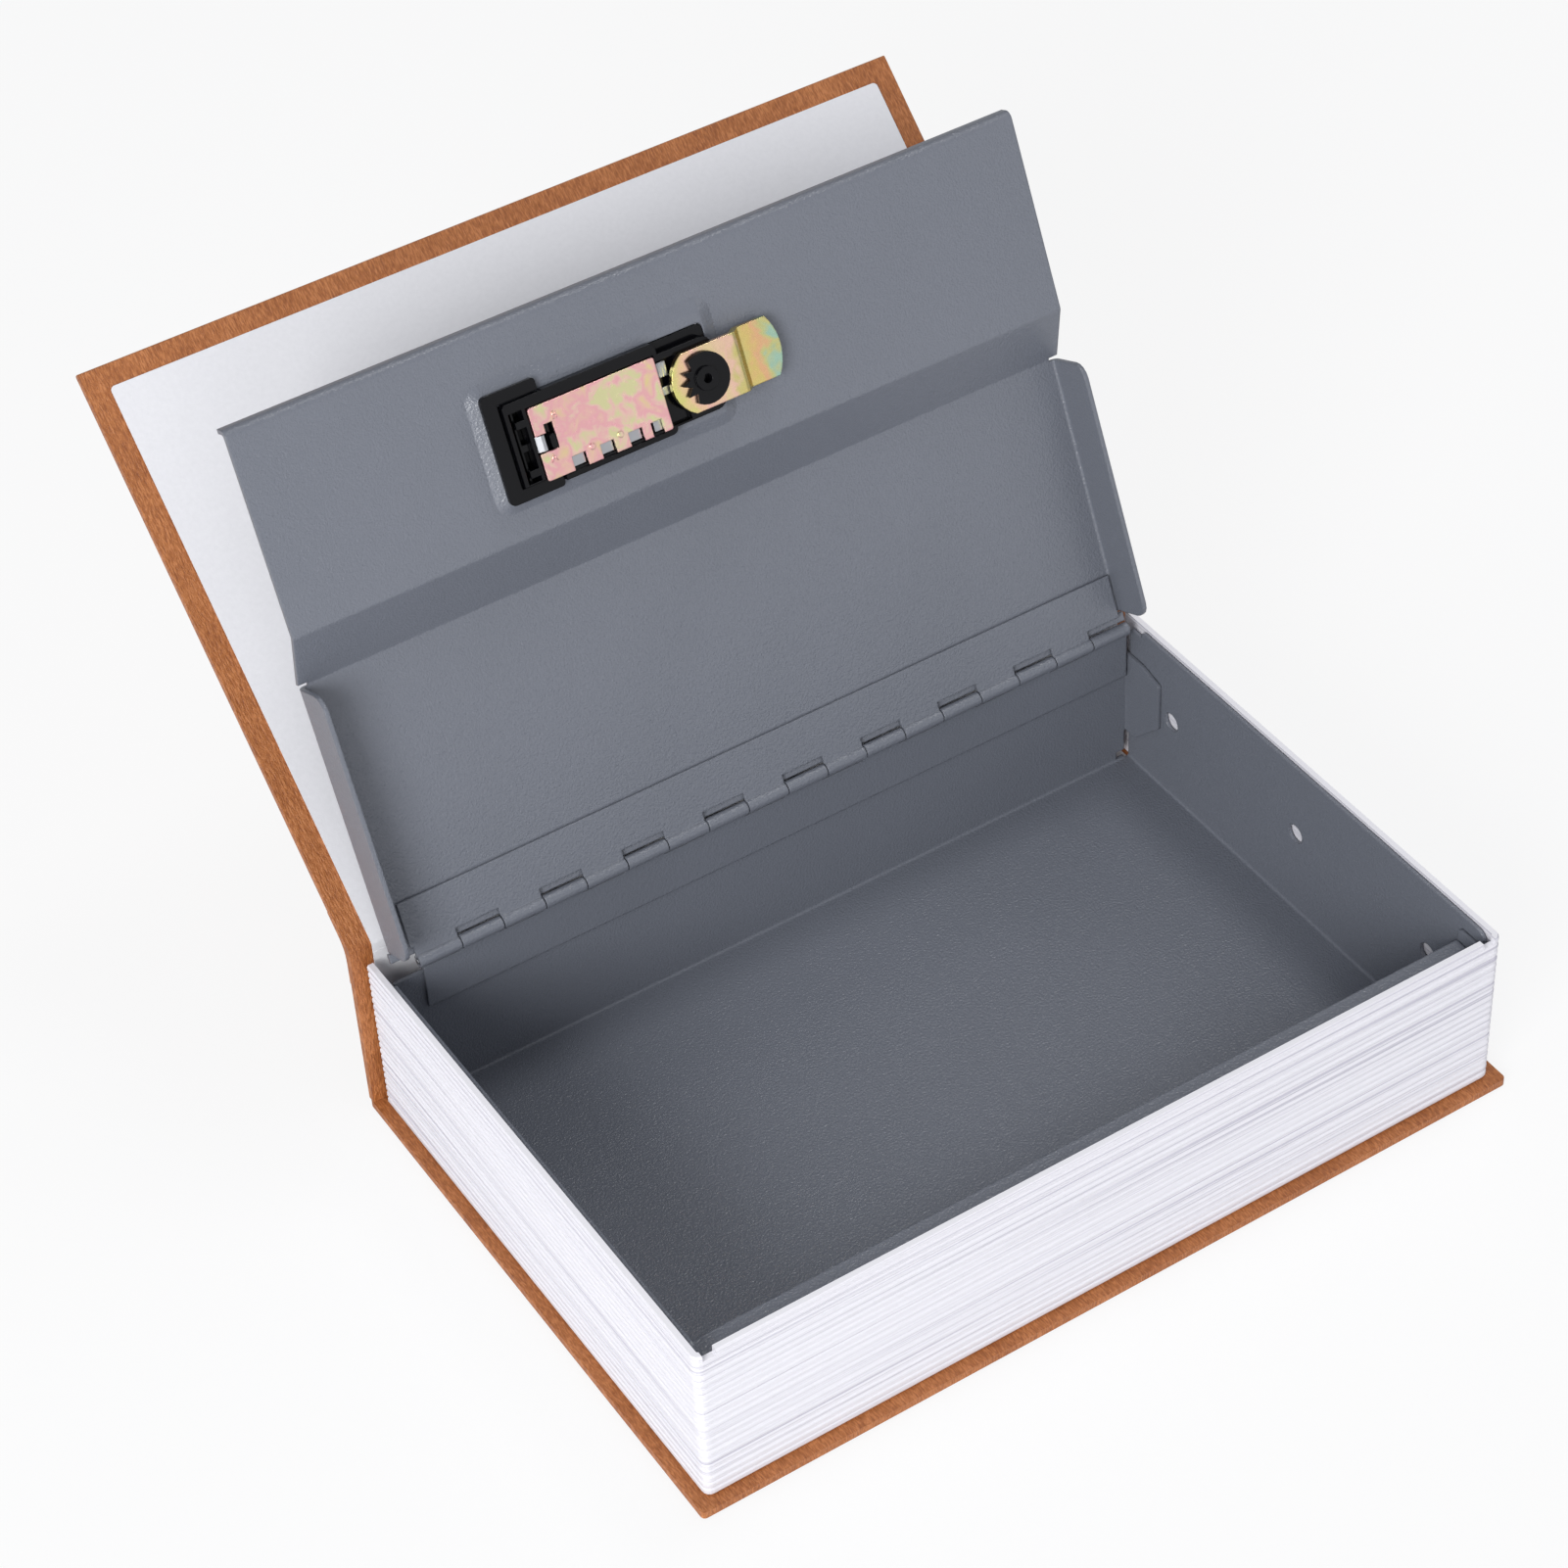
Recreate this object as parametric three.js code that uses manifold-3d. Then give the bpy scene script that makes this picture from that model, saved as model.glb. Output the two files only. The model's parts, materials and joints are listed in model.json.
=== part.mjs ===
// Hollow book safe, lying on its back cover with the front cover and the steel lid swung open.
// X runs along the hinges, Y from the fore-edge (minus) to the spine (plus), Z up.
// All lengths are millimetres and all angles degrees.

import * as THREE from 'three';
import { mergeVertices } from 'three/addons/utils/BufferGeometryUtils.js';
import Module from 'manifold-3d';

const wasm = await Module();
wasm.setup();

// General
const CLEARANCE = 0.3;
const OVER = 1;
const ROUND_STEPS = 20;
const BARREL_STEPS = 16;
const BORE_STEPS = 12;
const BEND_STEPS = 4;

// Book
const PAGE_LENGTH = 233.9;
const PAGE_DEPTH = 153.5;
const PAGE_HEIGHT = 49.6;
const PAGE_WALL = 1.8;
const PAGE_CORNER = 2.2;
const PAGE_RIBS = 22;
const PAGE_RIB_DEPTH = 0.35;
const PAGE_RIB_RISE = 0.3;
const PAGE_RIB_FALL = 0.75;
const RIM_NOTCH_WIDTH = 3.6;
const RIM_NOTCH_DEPTH = 2;
const BOARD_THICKNESS = 2.2;
const BOARD_OVERHANG = 3.05;
const BOARD_CORNER = 1.2;
const BOARD_ROUNDING = 0.98;
const BOARD_EDGE_RADIUS = 0.6;
const SPINE_SETBACK = 2.35;
const FRONT_COVER_DEPTH = 157.4;
const ENDPAPER_THICKNESS = 0.25;
const ENDPAPER_START = 1.5;
const TURN_IN = 6;
const COVER_OPENING = 136.9;

// Piano hinge
const HINGE_SETBACK = 6.15;
const HINGE_SHIFT = 2.85;
const HINGE_LENGTH = 217.3;
const KNUCKLES = 18;
const BARREL_RADIUS = 1.8;
const LEAF_THICKNESS = 0.8;
const PIN_RADIUS = 0.8;
const LEAF_LENGTH = 216;
const LEAF_STAGGER = 1.4;
const LEAF_SLOT = 4;
const LID_LEAF_WIDTH = 16.2;
const BOX_LEAF_WIDTH = 17.9;
const LID_OPENING = 114.28;

// Steel lid
const LID_SHEET = 1.2;
const LID_SHIFT = -0.35;
const LID_WIDTH = 223.9;
const LID_DEPTH = 145.1;
const LID_START = 2.1;
const LID_STEP = 8.2;
const STEP_START = 77.7;
const STEP_END = 91.8;
const LID_BEND = 1.4;
const LIP_HEIGHT = 3.6;
const FLANGE_HEIGHT = 12.7;
const FLANGE_START = 5.5;
const FLANGE_END = 77;
const FLANGE_CORNER = 4;

// Steel tray
const TRAY_SHEET = 1;
const TRAY_DROP = 0.8;
const TRAY_BEND = 1.2;
const TRAY_BACK_HEIGHT = 43.4;
const TRAY_CORNER = 3;
const TRAY_EDGE_RADIUS = 1;
const BACK_STEP = 2;
const LEDGE_WIDTH = 9.15;
const TAB_GAP = 0.2;
const TAB_JOIN = 2;
const FRONT_TAB_WIDTH = 9.4;
const FRONT_TAB_RISE = 3.3;
const BACK_TAB_WIDTH = 15.4;
const BACK_TAB_TOP = 38.5;
const BACK_TAB_BOTTOM = 11;
const TAB_SLOPE = 10.3;
const SIDE_HOLE_RADIUS = 2.8;
const SIDE_HOLE_HEIGHT = 26.7;
const SIDE_HOLE_SPACING = 53.65;
const CORNER_RELIEF = 2.6;

// Lock, measured from the raised field of the lid
const LOCK_ALONG = 113.6;
const FIELD_LEFT = -53;
const FIELD_RIGHT = 16;
const FIELD_LOW = -15;
const FIELD_HIGH = 18.3;
const FIELD_RISE = 1.6;
const FIELD_BEVEL = 3.5;
const HOUSING_LEFT = -45.8;
const HOUSING_RIGHT = -2.8;
const HOUSING_LOW = -11;
const HOUSING_HIGH = 12.6;
const HOUSING_HEIGHT = 2.6;
const HOUSING_CORNER = 1.5;
const NOSE_RIGHT = 12.2;
const NOSE_HALF_WIDTH = 9.5;
const NOSE_CORNER = 3;
const HOUSING_FLOOR = 1;
const HOUSING_STEP = -41;
const RECESS_WALL = 1.1;
const HOOK_WIDTH = 1.8;
const HOOK_SPREAD = 6.3;
const RIB_THICKNESS = 0.6;
const POCKET_HALF_WIDTH = 7.8;
const POCKET_LOW = -9;
const NECK_LOW = -9.6;
const NECK_HIGH = 12;
const NECK_RIGHT = 11.8;
const BEZEL_DEPTH = 6.7;
const BEZEL_FACE = 1;
const BEZEL_CORNER = 3;
const CLIP_LEFT = -50.3;
const CLIP_EAR_END = -35;
const CLIP_BASE_WIDTH = 4;
const CLIP_EAR_WIDTH = 3.2;
const CLIP_LOW = -12.3;
const CLIP_HIGH = 15.9;
const CLIP_THICKNESS = 1.2;
const PLATE_LEFT = -39.8;
const PLATE_LENGTH = 35.6;
const PLATE_WIDTH = 18.8;
const PLATE_THICKNESS = 0.8;
const PLATE_CORNER = 0.6;
const PLATE_TAB_WIDTH = 4.6;
const PLATE_TAB_DEPTH = 1.1;
const STUD_RADIUS = 0.8;
const STUD_HEIGHT = 0.3;
const STUD_ALONG = -5.4;
const WHEEL_COUNT = 3;
const WHEEL_FIRST = -27.8;
const WHEEL_PITCH = 8;
const WHEEL_RADIUS = 5.6;
const WHEEL_WIDTH = 5;
const WHEEL_DEPTH = 3.8;
const WHEEL_DIGITS = 10;
const WHEEL_GROOVE = 0.5;
const WHEEL_FLAT = 0.36;
const WHEEL_ROOM = 1.2;
const SLEEVE_RADIUS = 2.2;
const SLEEVE_FLANGE_RADIUS = 3;
const SLEEVE_FLANGE_WIDTH = 1.2;
const GATE_WIDTH = 1.6;
const AXLE_RADIUS = 0.9;
const AXLE_SEAT = 1.6;
const SPRING_THICKNESS = 0.3;
const SPRING_FINGER_WIDTH = 2.6;
const SPRING_STRIP = 0.9;
const WINDOW_WIDTH = 4;
const LAST_WINDOW_WIDTH = 3.2;
const WINDOW_DEPTH = 3.55;
const WINDOW_FIRST = -30.2;
const LAST_WINDOW = -8.2;
const CHANNEL_LOW = -2.4;
const CHANNEL_HIGH = 2.2;
const SLOT_HIGH = 4.4;
const SLIDE_THICKNESS = 0.7;
const SLIDE_TRAVEL = 2;
const SLIDE_TOOTH_WIDTH = 3.4;
const SLIDE_NOSE_WIDTH = 2;
const GRIP_LENGTH = 3.4;
const GRIP_LOW = 3.5;
const GRIP_HIGH = 7.2;
const LEVER_WIDTH = 1.5;
const LEVER_END_RADIUS = 0.65;
const LEVER_LENGTH = 3.7;
const LEVER_LEFT = -36.4;
const LEVER_START = -2;
const LEVER_STAND = 0.6;
const SHOE_CORNER = 0.2;

// Latch
const LATCH_X = 6.9;
const CAM_HALF_WIDTH = 7.8;
const CAM_END_RADIUS = 9;
const CAM_THICKNESS = 1.6;
const CAM_BEND_START = 10.6;
const CAM_BEND_LENGTH = 2.2;
const CAM_BEND_RADIUS = 0.9;
const CAM_DROP = 2.5;
const CAM_TIP_RADIUS = 14;
const TONGUE_REACH = 23.6;
const RETAINER_RADIUS = 6.6;
const RETAINER_THICKNESS = 0.8;
const RETAINER_HUB_RADIUS = 3.1;
const RETAINER_HUB_HEIGHT = 0.8;
const RETAINER_BORE = 1.2;
const RETAINER_CLAWS = 4;
const CLAW_DEPTH = 2.2;
const CLAW_SECTOR = 112;
const KNOB_RADIUS = 4.8;
const KNOB_HEIGHT = 2.5;
const KNOB_EDGE = 1;
const KNOB_GRIP_WIDTH = 3;
const KNOB_SCOOP = 1.4;
const SPINDLE_RADIUS = 2.4;
const HUB_RADIUS = 5.5;
const HUB_STEPS = 24;

// Heights and places that follow from the sizes above
const boardHalf = BOARD_THICKNESS / 2;
const coverHalfLength = PAGE_LENGTH / 2 + BOARD_OVERHANG;
const pageBottom = BOARD_THICKNESS + CLEARANCE;
const pageTop = pageBottom + PAGE_HEIGHT;
const hingeY = PAGE_DEPTH / 2 - HINGE_SETBACK;
const hingeZ = pageTop;
const spineInner = PAGE_DEPTH / 2 + SPINE_SETBACK;
const spineOuter = spineInner + BOARD_THICKNESS;
const coverAxisY = spineInner + boardHalf;
const paperStack = ENDPAPER_THICKNESS + 2 * CLEARANCE;
const lidInner = -(LEAF_THICKNESS / 2 + CLEARANCE);
const lidReach = Math.max(BARREL_RADIUS, LID_SHEET - lidInner);
const coverAxisZ = hingeZ + lidReach + paperStack + boardHalf;
const spineTop = coverAxisZ - boardHalf - CLEARANCE;
const boreRadius = BARREL_RADIUS - LEAF_THICKNESS;
const lidMiddle = lidInner - LID_SHEET / 2;
const lidLeft = LID_SHIFT - LID_WIDTH / 2;
const lidRight = LID_SHIFT + LID_WIDTH / 2;
const upperInner = lidInner + LID_STEP;
const trayOuterX = PAGE_LENGTH / 2 - PAGE_WALL - CLEARANCE;
const trayInnerX = trayOuterX - TRAY_SHEET;
const trayFrontOuter = -(PAGE_DEPTH / 2 - PAGE_WALL - CLEARANCE);
const trayFrontInner = trayFrontOuter + TRAY_SHEET;
const trayBackInner = hingeY + BARREL_RADIUS + CLEARANCE;
const trayBackOuter = trayBackInner + TRAY_SHEET;
const trayBottom = BOARD_THICKNESS + CLEARANCE;
const trayTop = pageTop - TRAY_DROP;
const ledgeTop = hingeZ - upperInner - CLEARANCE;
const tabOuterX = trayInnerX - TAB_GAP;
const tabInnerX = tabOuterX - TRAY_SHEET;

// Levels in the lock, counted from the top of the raised field towards the inside of the box
const fieldTop = upperInner + FIELD_RISE;
const bezelTop = -LID_SHEET - CLEARANCE;
const bezelFace = bezelTop - BEZEL_DEPTH;
const slideBottom = HOUSING_FLOOR + CLEARANCE;
const slideTop = slideBottom + SLIDE_THICKNESS;
const plateBottom = slideTop + CLEARANCE;
const plateTop = plateBottom + PLATE_THICKNESS;
const plateHalf = PLATE_WIDTH / 2;
const plateRight = PLATE_LEFT + PLATE_LENGTH;
const camBottom = HOUSING_HEIGHT + CLEARANCE;
const camTop = camBottom + CAM_THICKNESS;
const sleeveLeft = WHEEL_WIDTH / 2 + CLEARANCE + SLEEVE_FLANGE_WIDTH;
const wheelLast = WHEEL_FIRST + (WHEEL_COUNT - 1) * WHEEL_PITCH;
const wellLeft = WHEEL_FIRST - sleeveLeft - CLEARANCE;
const wellRight = wheelLast + WHEEL_WIDTH / 2 + CLEARANCE;
const wellHalf = WHEEL_RADIUS + WHEEL_ROOM;
const spindleBore = SPINDLE_RADIUS + CLEARANCE;

function radians(degrees) {
  return THREE.MathUtils.degToRad(degrees);
}

// A three.js geometry as a solid that can be joined and cut
function solid(geometry) {
  const bare = geometry.clone();
  bare.deleteAttribute('normal');
  bare.deleteAttribute('uv');
  const merged = mergeVertices(bare, 1e-4);
  const vertProperties = new Float32Array(merged.attributes.position.array);
  const triVerts = new Uint32Array(merged.index.array);
  return new wasm.Manifold(new wasm.Mesh({ numProp: 3, vertProperties, triVerts }));
}

function geometryOf(body) {
  const mesh = body.getMesh();
  const geometry = new THREE.BufferGeometry();
  geometry.setAttribute('position', new THREE.BufferAttribute(mesh.vertProperties, 3));
  geometry.setIndex(new THREE.BufferAttribute(mesh.triVerts, 1));
  geometry.computeVertexNormals();
  return geometry;
}

function join(bodies) {
  return bodies.reduce((sum, body) => sum.add(body));
}

function cut(body, tools) {
  return tools.reduce((rest, tool) => rest.subtract(tool), body);
}

function block(x0, x1, y0, y1, z0, z1) {
  const geometry = new THREE.BoxGeometry(x1 - x0, y1 - y0, z1 - z0);
  geometry.translate((x0 + x1) / 2, (y0 + y1) / 2, (z0 + z1) / 2);
  return solid(geometry);
}

// An outline in X and Y, raised from z0 to z1
function raised(outline, z0, z1) {
  const geometry = new THREE.ExtrudeGeometry(outline, { depth: z1 - z0, bevelEnabled: false });
  geometry.translate(0, 0, z0);
  return solid(geometry);
}

// An outline in Y and Z, drawn out along X
function alongX(outline, x0, x1) {
  const geometry = new THREE.ExtrudeGeometry(outline, { depth: x1 - x0, bevelEnabled: false });
  const turn = new THREE.Matrix4().makeBasis(
    new THREE.Vector3(0, 1, 0),
    new THREE.Vector3(0, 0, 1),
    new THREE.Vector3(1, 0, 0),
  );
  geometry.applyMatrix4(turn);
  geometry.translate(x0, 0, 0);
  return solid(geometry);
}

// An outline in Z and X, drawn out along Y
function alongY(outline, y0, y1) {
  const geometry = new THREE.ExtrudeGeometry(outline, { depth: y1 - y0, bevelEnabled: false });
  const turn = new THREE.Matrix4().makeBasis(
    new THREE.Vector3(0, 0, 1),
    new THREE.Vector3(1, 0, 0),
    new THREE.Vector3(0, 1, 0),
  );
  geometry.applyMatrix4(turn);
  geometry.translate(0, y0, 0);
  return solid(geometry);
}

function roundOutline(x, y, radius, steps = ROUND_STEPS) {
  const points = [];
  for (let step = 0; step < steps; step += 1) {
    const angle = (2 * Math.PI * step) / steps;
    points.push(new THREE.Vector2(x + radius * Math.cos(angle), y + radius * Math.sin(angle)));
  }
  return new THREE.Shape(points);
}

// A closed outline through corners, each rounded by one radius or by its own
function softOutline(corners, radius) {
  const points = [];
  const count = corners.length;
  corners.forEach((here, index) => {
    const before = corners[(index + count - 1) % count];
    const after = corners[(index + 1) % count];
    const size = Array.isArray(radius) ? radius[index] : radius;
    points.push(...bend(before, here, after, size).map((place) => place.point));
  });
  return new THREE.Shape(points);
}

function corner(x, y) {
  return new THREE.Vector2(x, y);
}

function softRectangle(x0, x1, y0, y1, radius) {
  return softOutline([corner(x0, y0), corner(x1, y0), corner(x1, y1), corner(x0, y1)], radius);
}

// The arc of a rounded corner: points with the unit direction of travel
function bend(before, here, after, radius) {
  const arriving = here.clone().sub(before).normalize();
  const leaving = after.clone().sub(here).normalize();
  const turn = Math.atan2(arriving.cross(leaving), arriving.dot(leaving));
  if (radius <= 0 || Math.abs(turn) < 1e-6) {
    const middle = arriving.clone().add(leaving).normalize();
    return [{ point: here.clone(), direction: middle, stretch: 1 / Math.cos(turn / 2) }];
  }
  const back = radius * Math.tan(Math.abs(turn) / 2);
  const start = here.clone().addScaledVector(arriving, -back);
  const side = Math.sign(turn);
  const centre = corner(start.x - side * arriving.y * radius, start.y + side * arriving.x * radius);
  const places = [];
  for (let step = 0; step <= BEND_STEPS; step += 1) {
    const angle = (turn * step) / BEND_STEPS;
    const zero = corner(0, 0);
    const point = start.clone().sub(centre).rotateAround(zero, angle).add(centre);
    places.push({ point, direction: arriving.clone().rotateAround(zero, angle), stretch: 1 });
  }
  return places;
}

// The outline of a folded sheet of one thickness whose middle runs through the given corners
function foldedOutline(corners, thickness, radius) {
  const last = corners.length - 1;
  const places = corners.flatMap((here, index) => {
    if (index === 0 || index === last) {
      const from = corners[Math.max(index - 1, 0)];
      const to = corners[Math.min(index + 1, last)];
      return [{ point: here, direction: to.clone().sub(from).normalize(), stretch: 1 }];
    }
    return bend(corners[index - 1], here, corners[index + 1], radius);
  });
  const shifted = (place, side) => {
    const reach = (side * place.stretch * thickness) / 2;
    return corner(place.point.x + place.direction.y * reach, place.point.y - place.direction.x * reach);
  };
  const right = places.map((place) => shifted(place, 1));
  const left = places.map((place) => shifted(place, -1));
  return new THREE.Shape([...right, ...left.reverse()]);
}

// A rod along X
function rod(x0, x1, y, z, radius, steps = ROUND_STEPS) {
  return alongX(roundOutline(y, z, radius, steps), x0, x1);
}

// Covers, spine and their paper
function makeBackCover() {
  const front = -(PAGE_DEPTH / 2 + BOARD_OVERHANG);
  const outline = softRectangle(-coverHalfLength, coverHalfLength, front, spineOuter, BOARD_CORNER);
  return raised(outline, 0, BOARD_THICKNESS);
}

// The board of the spine ends in a round bead that the front cover turns over
function makeSpine() {
  const top = spineTop;
  const corners = [
    corner(spineInner, pageBottom),
    corner(spineOuter, pageBottom),
    corner(spineOuter, top),
    corner(spineInner, top),
  ];
  const round = boardHalf * BOARD_ROUNDING;
  return alongX(softOutline(corners, [0, 0, round, round]), -coverHalfLength, coverHalfLength);
}

function makeSpineEndpaper() {
  const outer = spineInner - CLEARANCE;
  const inner = outer - ENDPAPER_THICKNESS;
  const half = coverHalfLength - TURN_IN;
  return block(-half, half, inner, outer, pageBottom, spineTop - boardHalf);
}

function makeFrontCoverBoard() {
  const nose = boardHalf * BOARD_ROUNDING;
  const tip = BOARD_EDGE_RADIUS;
  const corners = [
    corner(-boardHalf, -boardHalf),
    corner(FRONT_COVER_DEPTH, -boardHalf),
    corner(FRONT_COVER_DEPTH, boardHalf),
    corner(-boardHalf, boardHalf),
  ];
  return alongX(softOutline(corners, [nose, tip, tip, nose]), -coverHalfLength, coverHalfLength);
}

function makeFrontEndpaper() {
  const half = coverHalfLength - TURN_IN;
  const outline = softRectangle(-half, half, ENDPAPER_START, FRONT_COVER_DEPTH - TURN_IN, BOARD_CORNER);
  const start = boardHalf + CLEARANCE;
  return raised(outline, start, start + ENDPAPER_THICKNESS);
}

// Plan of the page block: places on its outside with the outward direction of each
function pagePlan() {
  const x = PAGE_LENGTH / 2;
  const y = PAGE_DEPTH / 2;
  const corners = [corner(-x, y), corner(-x, -y), corner(x, -y), corner(x, y)];
  const places = [
    { point: corners[0], direction: corner(0, -1) },
    ...bend(corners[0], corners[1], corners[2], PAGE_CORNER),
    ...bend(corners[1], corners[2], corners[3], PAGE_CORNER),
    { point: corners[3], direction: corner(0, 1) },
  ];
  return places.map(({ point, direction }) => ({ point, out: corner(direction.y, -direction.x) }));
}

// Upright section of the page wall: ribs like the edges of pages outside, flat inside
function pageSection() {
  const section = [corner(-PAGE_WALL, pageBottom)];
  const pitch = PAGE_HEIGHT / PAGE_RIBS;
  for (let rib = 0; rib < PAGE_RIBS; rib += 1) {
    const low = pageBottom + rib * pitch;
    section.push(corner(-PAGE_RIB_DEPTH, low));
    section.push(corner(0, low + pitch * PAGE_RIB_RISE));
    section.push(corner(0, low + pitch * PAGE_RIB_FALL));
  }
  section.push(corner(-PAGE_RIB_DEPTH, pageTop));
  section.push(corner(-PAGE_WALL, pageTop));
  return section;
}

function makePageBlock() {
  const plan = pagePlan();
  const section = pageSection();
  const points = plan.flatMap(({ point, out }) => section.map((place) => {
    const around = point.clone().addScaledVector(out, place.x);
    return new THREE.Vector3(around.x, around.y, place.y);
  }));
  const index = [];
  const size = section.length;
  for (let station = 0; station < plan.length - 1; station += 1) {
    for (let place = 0; place < size; place += 1) {
      const a = station * size + place;
      const b = station * size + ((place + 1) % size);
      index.push(a, a + size, b + size, a, b + size, b);
    }
  }
  const end = (plan.length - 1) * size;
  THREE.ShapeUtils.triangulateShape(section, []).forEach(([a, b, c]) => {
    index.push(a, b, c, end + a, end + c, end + b);
  });
  const geometry = new THREE.BufferGeometry().setFromPoints(points);
  geometry.setIndex(index);
  const wall = solid(geometry);
  return cut(wall, [rimNotch(-1), rimNotch(1)]);
}

function rimNotch(side) {
  const outer = side * (PAGE_LENGTH / 2 - PAGE_CORNER);
  const inner = outer - side * RIM_NOTCH_WIDTH;
  const front = -PAGE_DEPTH / 2;
  const back = front + PAGE_WALL + OVER;
  const bottom = pageTop - RIM_NOTCH_DEPTH;
  return block(Math.min(outer, inner), Math.max(outer, inner), front - OVER, back, bottom, pageTop + OVER);
}

// Steel tray: one folded sheet
function makeSteelTray() {
  const half = TRAY_SHEET / 2;
  const floor = trayBottom + half;
  const frontMiddle = trayFrontOuter + half;
  const backMiddle = trayBackInner + half;
  const long = foldedOutline([
    corner(trayFrontOuter + LEDGE_WIDTH, ledgeTop - half),
    corner(frontMiddle, ledgeTop - half),
    corner(frontMiddle, floor),
    corner(backMiddle, floor),
    corner(backMiddle, trayBottom + TRAY_BACK_HEIGHT),
  ], TRAY_SHEET, TRAY_BEND);
  const across = foldedOutline([
    corner(trayTop, -trayOuterX + half),
    corner(floor, -trayOuterX + half),
    corner(floor, trayOuterX - half),
    corner(trayTop, trayOuterX - half),
  ], TRAY_SHEET, TRAY_BEND);
  const wallEnd = tabInnerX - CLEARANCE;
  const channel = alongY(across, trayFrontInner, trayBackInner);
  const walls = channel.intersect(alongX(traySideOutline(), -PAGE_LENGTH / 2, PAGE_LENGTH / 2));
  const tray = join([alongX(long, -wallEnd, wallEnd), walls, ...trayTabs(-1), ...trayTabs(1)]);
  return cut(tray, [...sideHoles(), ...cornerReliefs()]);
}

// Side wall seen from the end: rounded at both upper corners, with a lower step at the back
function traySideOutline() {
  const stepY = hingeY - TRAY_CORNER;
  const stepZ = trayTop - BACK_STEP;
  return softOutline([
    corner(trayFrontInner, 0),
    corner(trayBackInner, 0),
    corner(trayBackInner, stepZ),
    corner(stepY, stepZ),
    corner(stepY, trayTop),
    corner(trayFrontInner, trayTop),
  ], [0, 0, TRAY_EDGE_RADIUS, TRAY_EDGE_RADIUS / 2, TRAY_EDGE_RADIUS, TRAY_CORNER]);
}

// Corner tabs inside the side wall, folded from the front wall and from the back wall
function trayTabs(side) {
  const tabSide = (outline) => {
    const near = Math.min(side * tabInnerX, side * tabOuterX);
    return alongX(outline, near, near + TRAY_SHEET);
  };
  const low = trayBottom + BACK_TAB_BOTTOM;
  const high = trayBottom + BACK_TAB_TOP;
  const backEdge = trayBackOuter - BACK_TAB_WIDTH;
  const back = softOutline([
    corner(backEdge, low + TAB_SLOPE),
    corner(trayBackOuter - TAB_SLOPE / 2, low),
    corner(trayBackOuter, low),
    corner(trayBackOuter, high),
    corner(trayBackOuter - BACK_TAB_WIDTH / 2, high),
    corner(backEdge, high - BACK_STEP),
  ], [TRAY_EDGE_RADIUS, TRAY_EDGE_RADIUS, 0, 0, TRAY_EDGE_RADIUS, TRAY_EDGE_RADIUS]);
  const frontTop = ledgeTop + FRONT_TAB_RISE;
  const frontEdge = trayFrontOuter + FRONT_TAB_WIDTH;
  const front = softOutline([
    corner(trayFrontOuter, low),
    corner(frontEdge, low),
    corner(frontEdge, frontTop),
    corner(trayFrontOuter, frontTop),
  ], [0, TRAY_CORNER, TRAY_EDGE_RADIUS, 0]);
  const inner = Math.min(side * (tabInnerX - TAB_JOIN), side * tabOuterX);
  const width = tabOuterX - tabInnerX + TAB_JOIN;
  const joinTop = ledgeTop - TRAY_SHEET - TRAY_BEND;
  const frontJoin = block(inner, inner + width, trayFrontOuter, trayFrontInner, low, joinTop);
  const backJoin = block(inner, inner + width, trayBackInner, trayBackOuter, low, high);
  return [tabSide(back), tabSide(front), frontJoin, backJoin];
}

function sideHoles() {
  const length = PAGE_LENGTH;
  const z = trayBottom + SIDE_HOLE_HEIGHT;
  return [-1, 0, 1].map((place) => (
    rod(-length / 2, length / 2, place * SIDE_HOLE_SPACING, z, SIDE_HOLE_RADIUS)
  ));
}

// Square corner reliefs at the lower ends of the front and back walls
function cornerReliefs() {
  const end = tabInnerX - CLEARANCE;
  const low = trayBottom + TRAY_SHEET + CLEARANCE;
  const high = low + CORNER_RELIEF;
  return [-1, 1].flatMap((side) => [trayFrontOuter, trayBackInner].map((y) => {
    const inner = side * (end - CORNER_RELIEF);
    const outer = side * (end + OVER);
    return block(Math.min(inner, outer), Math.max(inner, outer), y - OVER, y + TRAY_SHEET + OVER, low, high);
  }));
}

// Piano hinge: a leaf with every second knuckle rolled round the pin
function knuckleSpan(index) {
  const pitch = HINGE_LENGTH / KNUCKLES;
  const start = HINGE_SHIFT - HINGE_LENGTH / 2 + index * pitch;
  return [start, start + pitch - CLEARANCE];
}

// The leaf in its own frame: the knuckle axis along X, the leaf reaching out along Y
function makeHingeLeaf(first, width, shift, bottom) {
  const left = HINGE_SHIFT - LEAF_LENGTH / 2 + shift;
  const top = bottom + LEAF_THICKNESS;
  const leaf = block(left, left + LEAF_LENGTH, LEAF_SLOT, width, bottom, top);
  const pieces = [leaf];
  const bores = [];
  for (let index = first; index < KNUCKLES; index += 2) {
    const [x0, x1] = knuckleSpan(index);
    pieces.push(rod(x0, x1, 0, 0, BARREL_RADIUS, BARREL_STEPS));
    pieces.push(block(x0, x1, 0, LEAF_SLOT + OVER, bottom, top));
    bores.push(rod(x0 - OVER, x1 + OVER, 0, 0, boreRadius, BORE_STEPS));
  }
  return cut(join(pieces), bores);
}

function makeLidLeaf() {
  return makeHingeLeaf(0, LID_LEAF_WIDTH, -LEAF_STAGGER, -LEAF_THICKNESS / 2);
}

// The box leaf hangs down behind the axis, so its own frame is turned by a quarter
function makeBoxLeaf() {
  const leaf = geometryOf(makeHingeLeaf(1, BOX_LEAF_WIDTH, LEAF_STAGGER - CLEARANCE, boreRadius));
  return leaf.applyMatrix4(new THREE.Matrix4().makeRotationX(-Math.PI / 2));
}

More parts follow.
